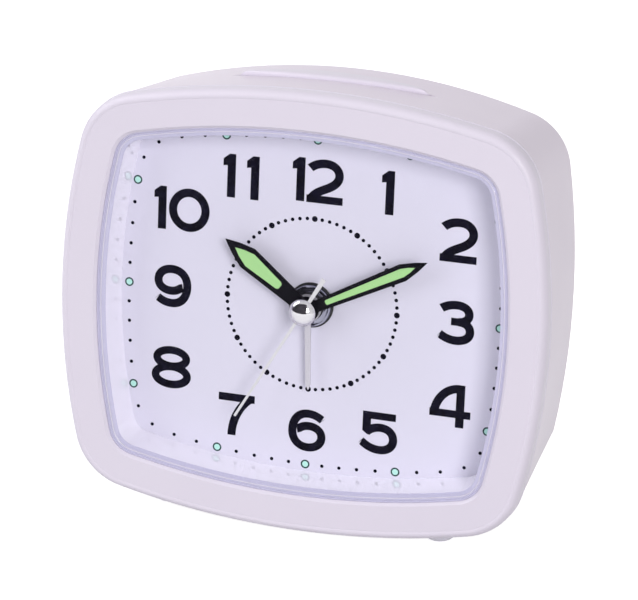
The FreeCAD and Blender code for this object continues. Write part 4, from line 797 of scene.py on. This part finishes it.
# ---- movement ----
# A black two-part housing of matt ABS holds white acetal wheels on a white bridge, the
# stepping motor with its steel stator and copper coil, and the crystal's circuit board.
def rolled_steel(sheet):
    place = sheet.add("ShaderNodeTexCoord", out="Object")
    stretched = sheet.add("ShaderNodeVectorMath", {0: place, 1: (0.12, 1.0, 1.0)},
                          {"operation": "MULTIPLY"})
    rolled = cloudy(sheet, 0.3, 4.0, stretched)
    return sheet.add("ShaderNodeBsdfPrincipled", {
        "Base Color": blend(sheet, rolled, (0.60, 0.60, 0.61), (0.48, 0.48, 0.50)),
        "Metallic": 1.0, "Roughness": rolled * 0.2 + 0.25})


def wound_copper(sheet):
    place = sheet.add("ShaderNodeTexCoord", out="Object")
    turns = sheet.add("ShaderNodeTexWave", {
        "Vector": place, "Scale": 2400.0, "Distortion": 0.6, "Detail": 1.0},
        {"wave_type": "BANDS", "bands_direction": "X"}, out=1)
    return sheet.add("ShaderNodeBsdfPrincipled", {
        "Base Color": blend(sheet, turns, (0.34, 0.10, 0.04), (0.78, 0.34, 0.16)),
        "Metallic": 0.85, "Roughness": 0.35 - turns * 0.1, "Normal": bumped(sheet, turns, 0.6)})


def printed_board(sheet):
    place = sheet.add("ShaderNodeTexCoord", out="Object")
    tracks = sheet.add("ShaderNodeTexBrick", {
        "Vector": place, "Scale": 240.0, "Mortar Size": 0.012, "Color1": (0, 0, 0, 1),
        "Color2": (0, 0, 0, 1), "Mortar": (1, 1, 1, 1)}, {"offset": 0.37}, out=1)
    glass = cloudy(sheet, 0.4, 3.0)
    resin = blend(sheet, glass, (0.03, 0.15, 0.07), (0.04, 0.20, 0.09))
    return sheet.add("ShaderNodeBsdfPrincipled", {
        "Base Color": blend(sheet, tracks, resin, (0.10, 0.34, 0.16)),
        "Roughness": glass * 0.1 + 0.35, "Coat Weight": 0.3})


white_acetal = finish("white_acetal", grained(
    (0.84, 0.83, 0.79), (0.78, 0.77, 0.73), 2.0, 3.0, (0.36, 0.46), skin=(0.05, 0.0001)))
steel = finish("rolled_steel", rolled_steel)
board_green = finish("board_green", printed_board)
for node in ("movement_front", "movement_rear", "chip", "buzzer", "alarm_switch",
             "light_switch", "switch_plunger"):
    dress_node(node, soft_black)
for node in ("bridge", "second_wheel", "minute_wheel", "hour_wheel", "centre_wheel",
             "third_wheel", "fifth_wheel", "alarm_wheel", "rotor", "alarm_setting_shaft",
             "time_setting_shaft"):
    dress_node(node, white_acetal)
for node in ("rotor_magnet", "stator", "quartz_can", "second_pin"):
    dress_node(node, steel)
for node in ("circuit_board", "light_board"):
    dress_node(node, board_green)
dress_node("coil", finish("wound_copper", wound_copper))
dress_node("minute_pipe", finish("brass", grained(
    (0.72, 0.52, 0.22), (0.62, 0.43, 0.17), 0.6, 3.0, (0.2, 0.35), {"Metallic": 1.0})))


# ---- battery and its contacts ----
# One AA cell in a bay behind the door: a steel can in a plain two-colour plastic sleeve,
# between two springy contacts of nickel-plated strip.
sleeve_shift, sleeve_half, band_start = 0.4, 23.6, 13.0


def sleeve(sheet):
    place = sheet.add("ShaderNodeTexCoord", out="Object")
    along = sheet.add("ShaderNodeSeparateXYZ", {"Vector": place}, out=0) * 1000.0
    wrapped = along.maths("LESS_THAN", along.maths("ABSOLUTE", along + sleeve_shift), sleeve_half)
    banded = along.maths("GREATER_THAN", along, band_start)
    haze = cloudy(sheet, 0.8, 3.0)
    black = blend(sheet, haze, (0.035, 0.04, 0.05), (0.05, 0.055, 0.07))
    gold = blend(sheet, haze, (0.52, 0.42, 0.22), (0.46, 0.36, 0.18))
    bare_can = blend(sheet, haze, (0.62, 0.62, 0.63), (0.52, 0.52, 0.54))
    return sheet.add("ShaderNodeBsdfPrincipled", {
        "Base Color": blend(sheet, wrapped, bare_can, blend(sheet, banded, black, gold)),
        "Metallic": 0.9 - wrapped * 0.5, "Roughness": haze * 0.1 + 0.24, "Coat Weight": 0.3})


dress_node("battery_cell", finish("cell_sleeve", sleeve))
nickel = finish("nickel_strip", grained(
    (0.72, 0.70, 0.66), (0.62, 0.60, 0.56), 0.9, 3.0, (0.2, 0.35), {"Metallic": 1.0}))
for node in ("positive_contact", "negative_contact"):
    dress_node(node, nickel)


# ---- lamp and feet ----
# A small clear filament lamp under the bar, and four soft translucent feet of vinyl.
def soft_vinyl(sheet):
    haze = cloudy(sheet, 1.5, 3.0)
    soft = sheet.add("ShaderNodeBsdfPrincipled", {
        "Base Color": blend(sheet, haze, (0.86, 0.83, 0.92), (0.80, 0.77, 0.88)),
        "Roughness": haze * 0.15 + 0.28, "IOR": 1.45, "Normal": bumped(sheet, haze, 0.1)})
    clear = sheet.add("ShaderNodeBsdfTransparent", {"Color": (0.88, 0.86, 0.95, 1.0)})
    return sheet.add("ShaderNodeMixShader", {0: haze * 0.2 + 0.45, 1: clear, 2: soft})


dress_node("lamp", finish("lamp_glass", grained(
    (0.92, 0.90, 0.82), (0.86, 0.84, 0.74), 0.8, 2.0, (0.04, 0.09),
    {"Transmission Weight": 0.6, "IOR": 1.5})))
vinyl = finish("soft_vinyl", soft_vinyl)
for node in ("foot_front_left", "foot_front_right", "foot_rear_left", "foot_rear_right"):
    dress_node(node, vinyl)
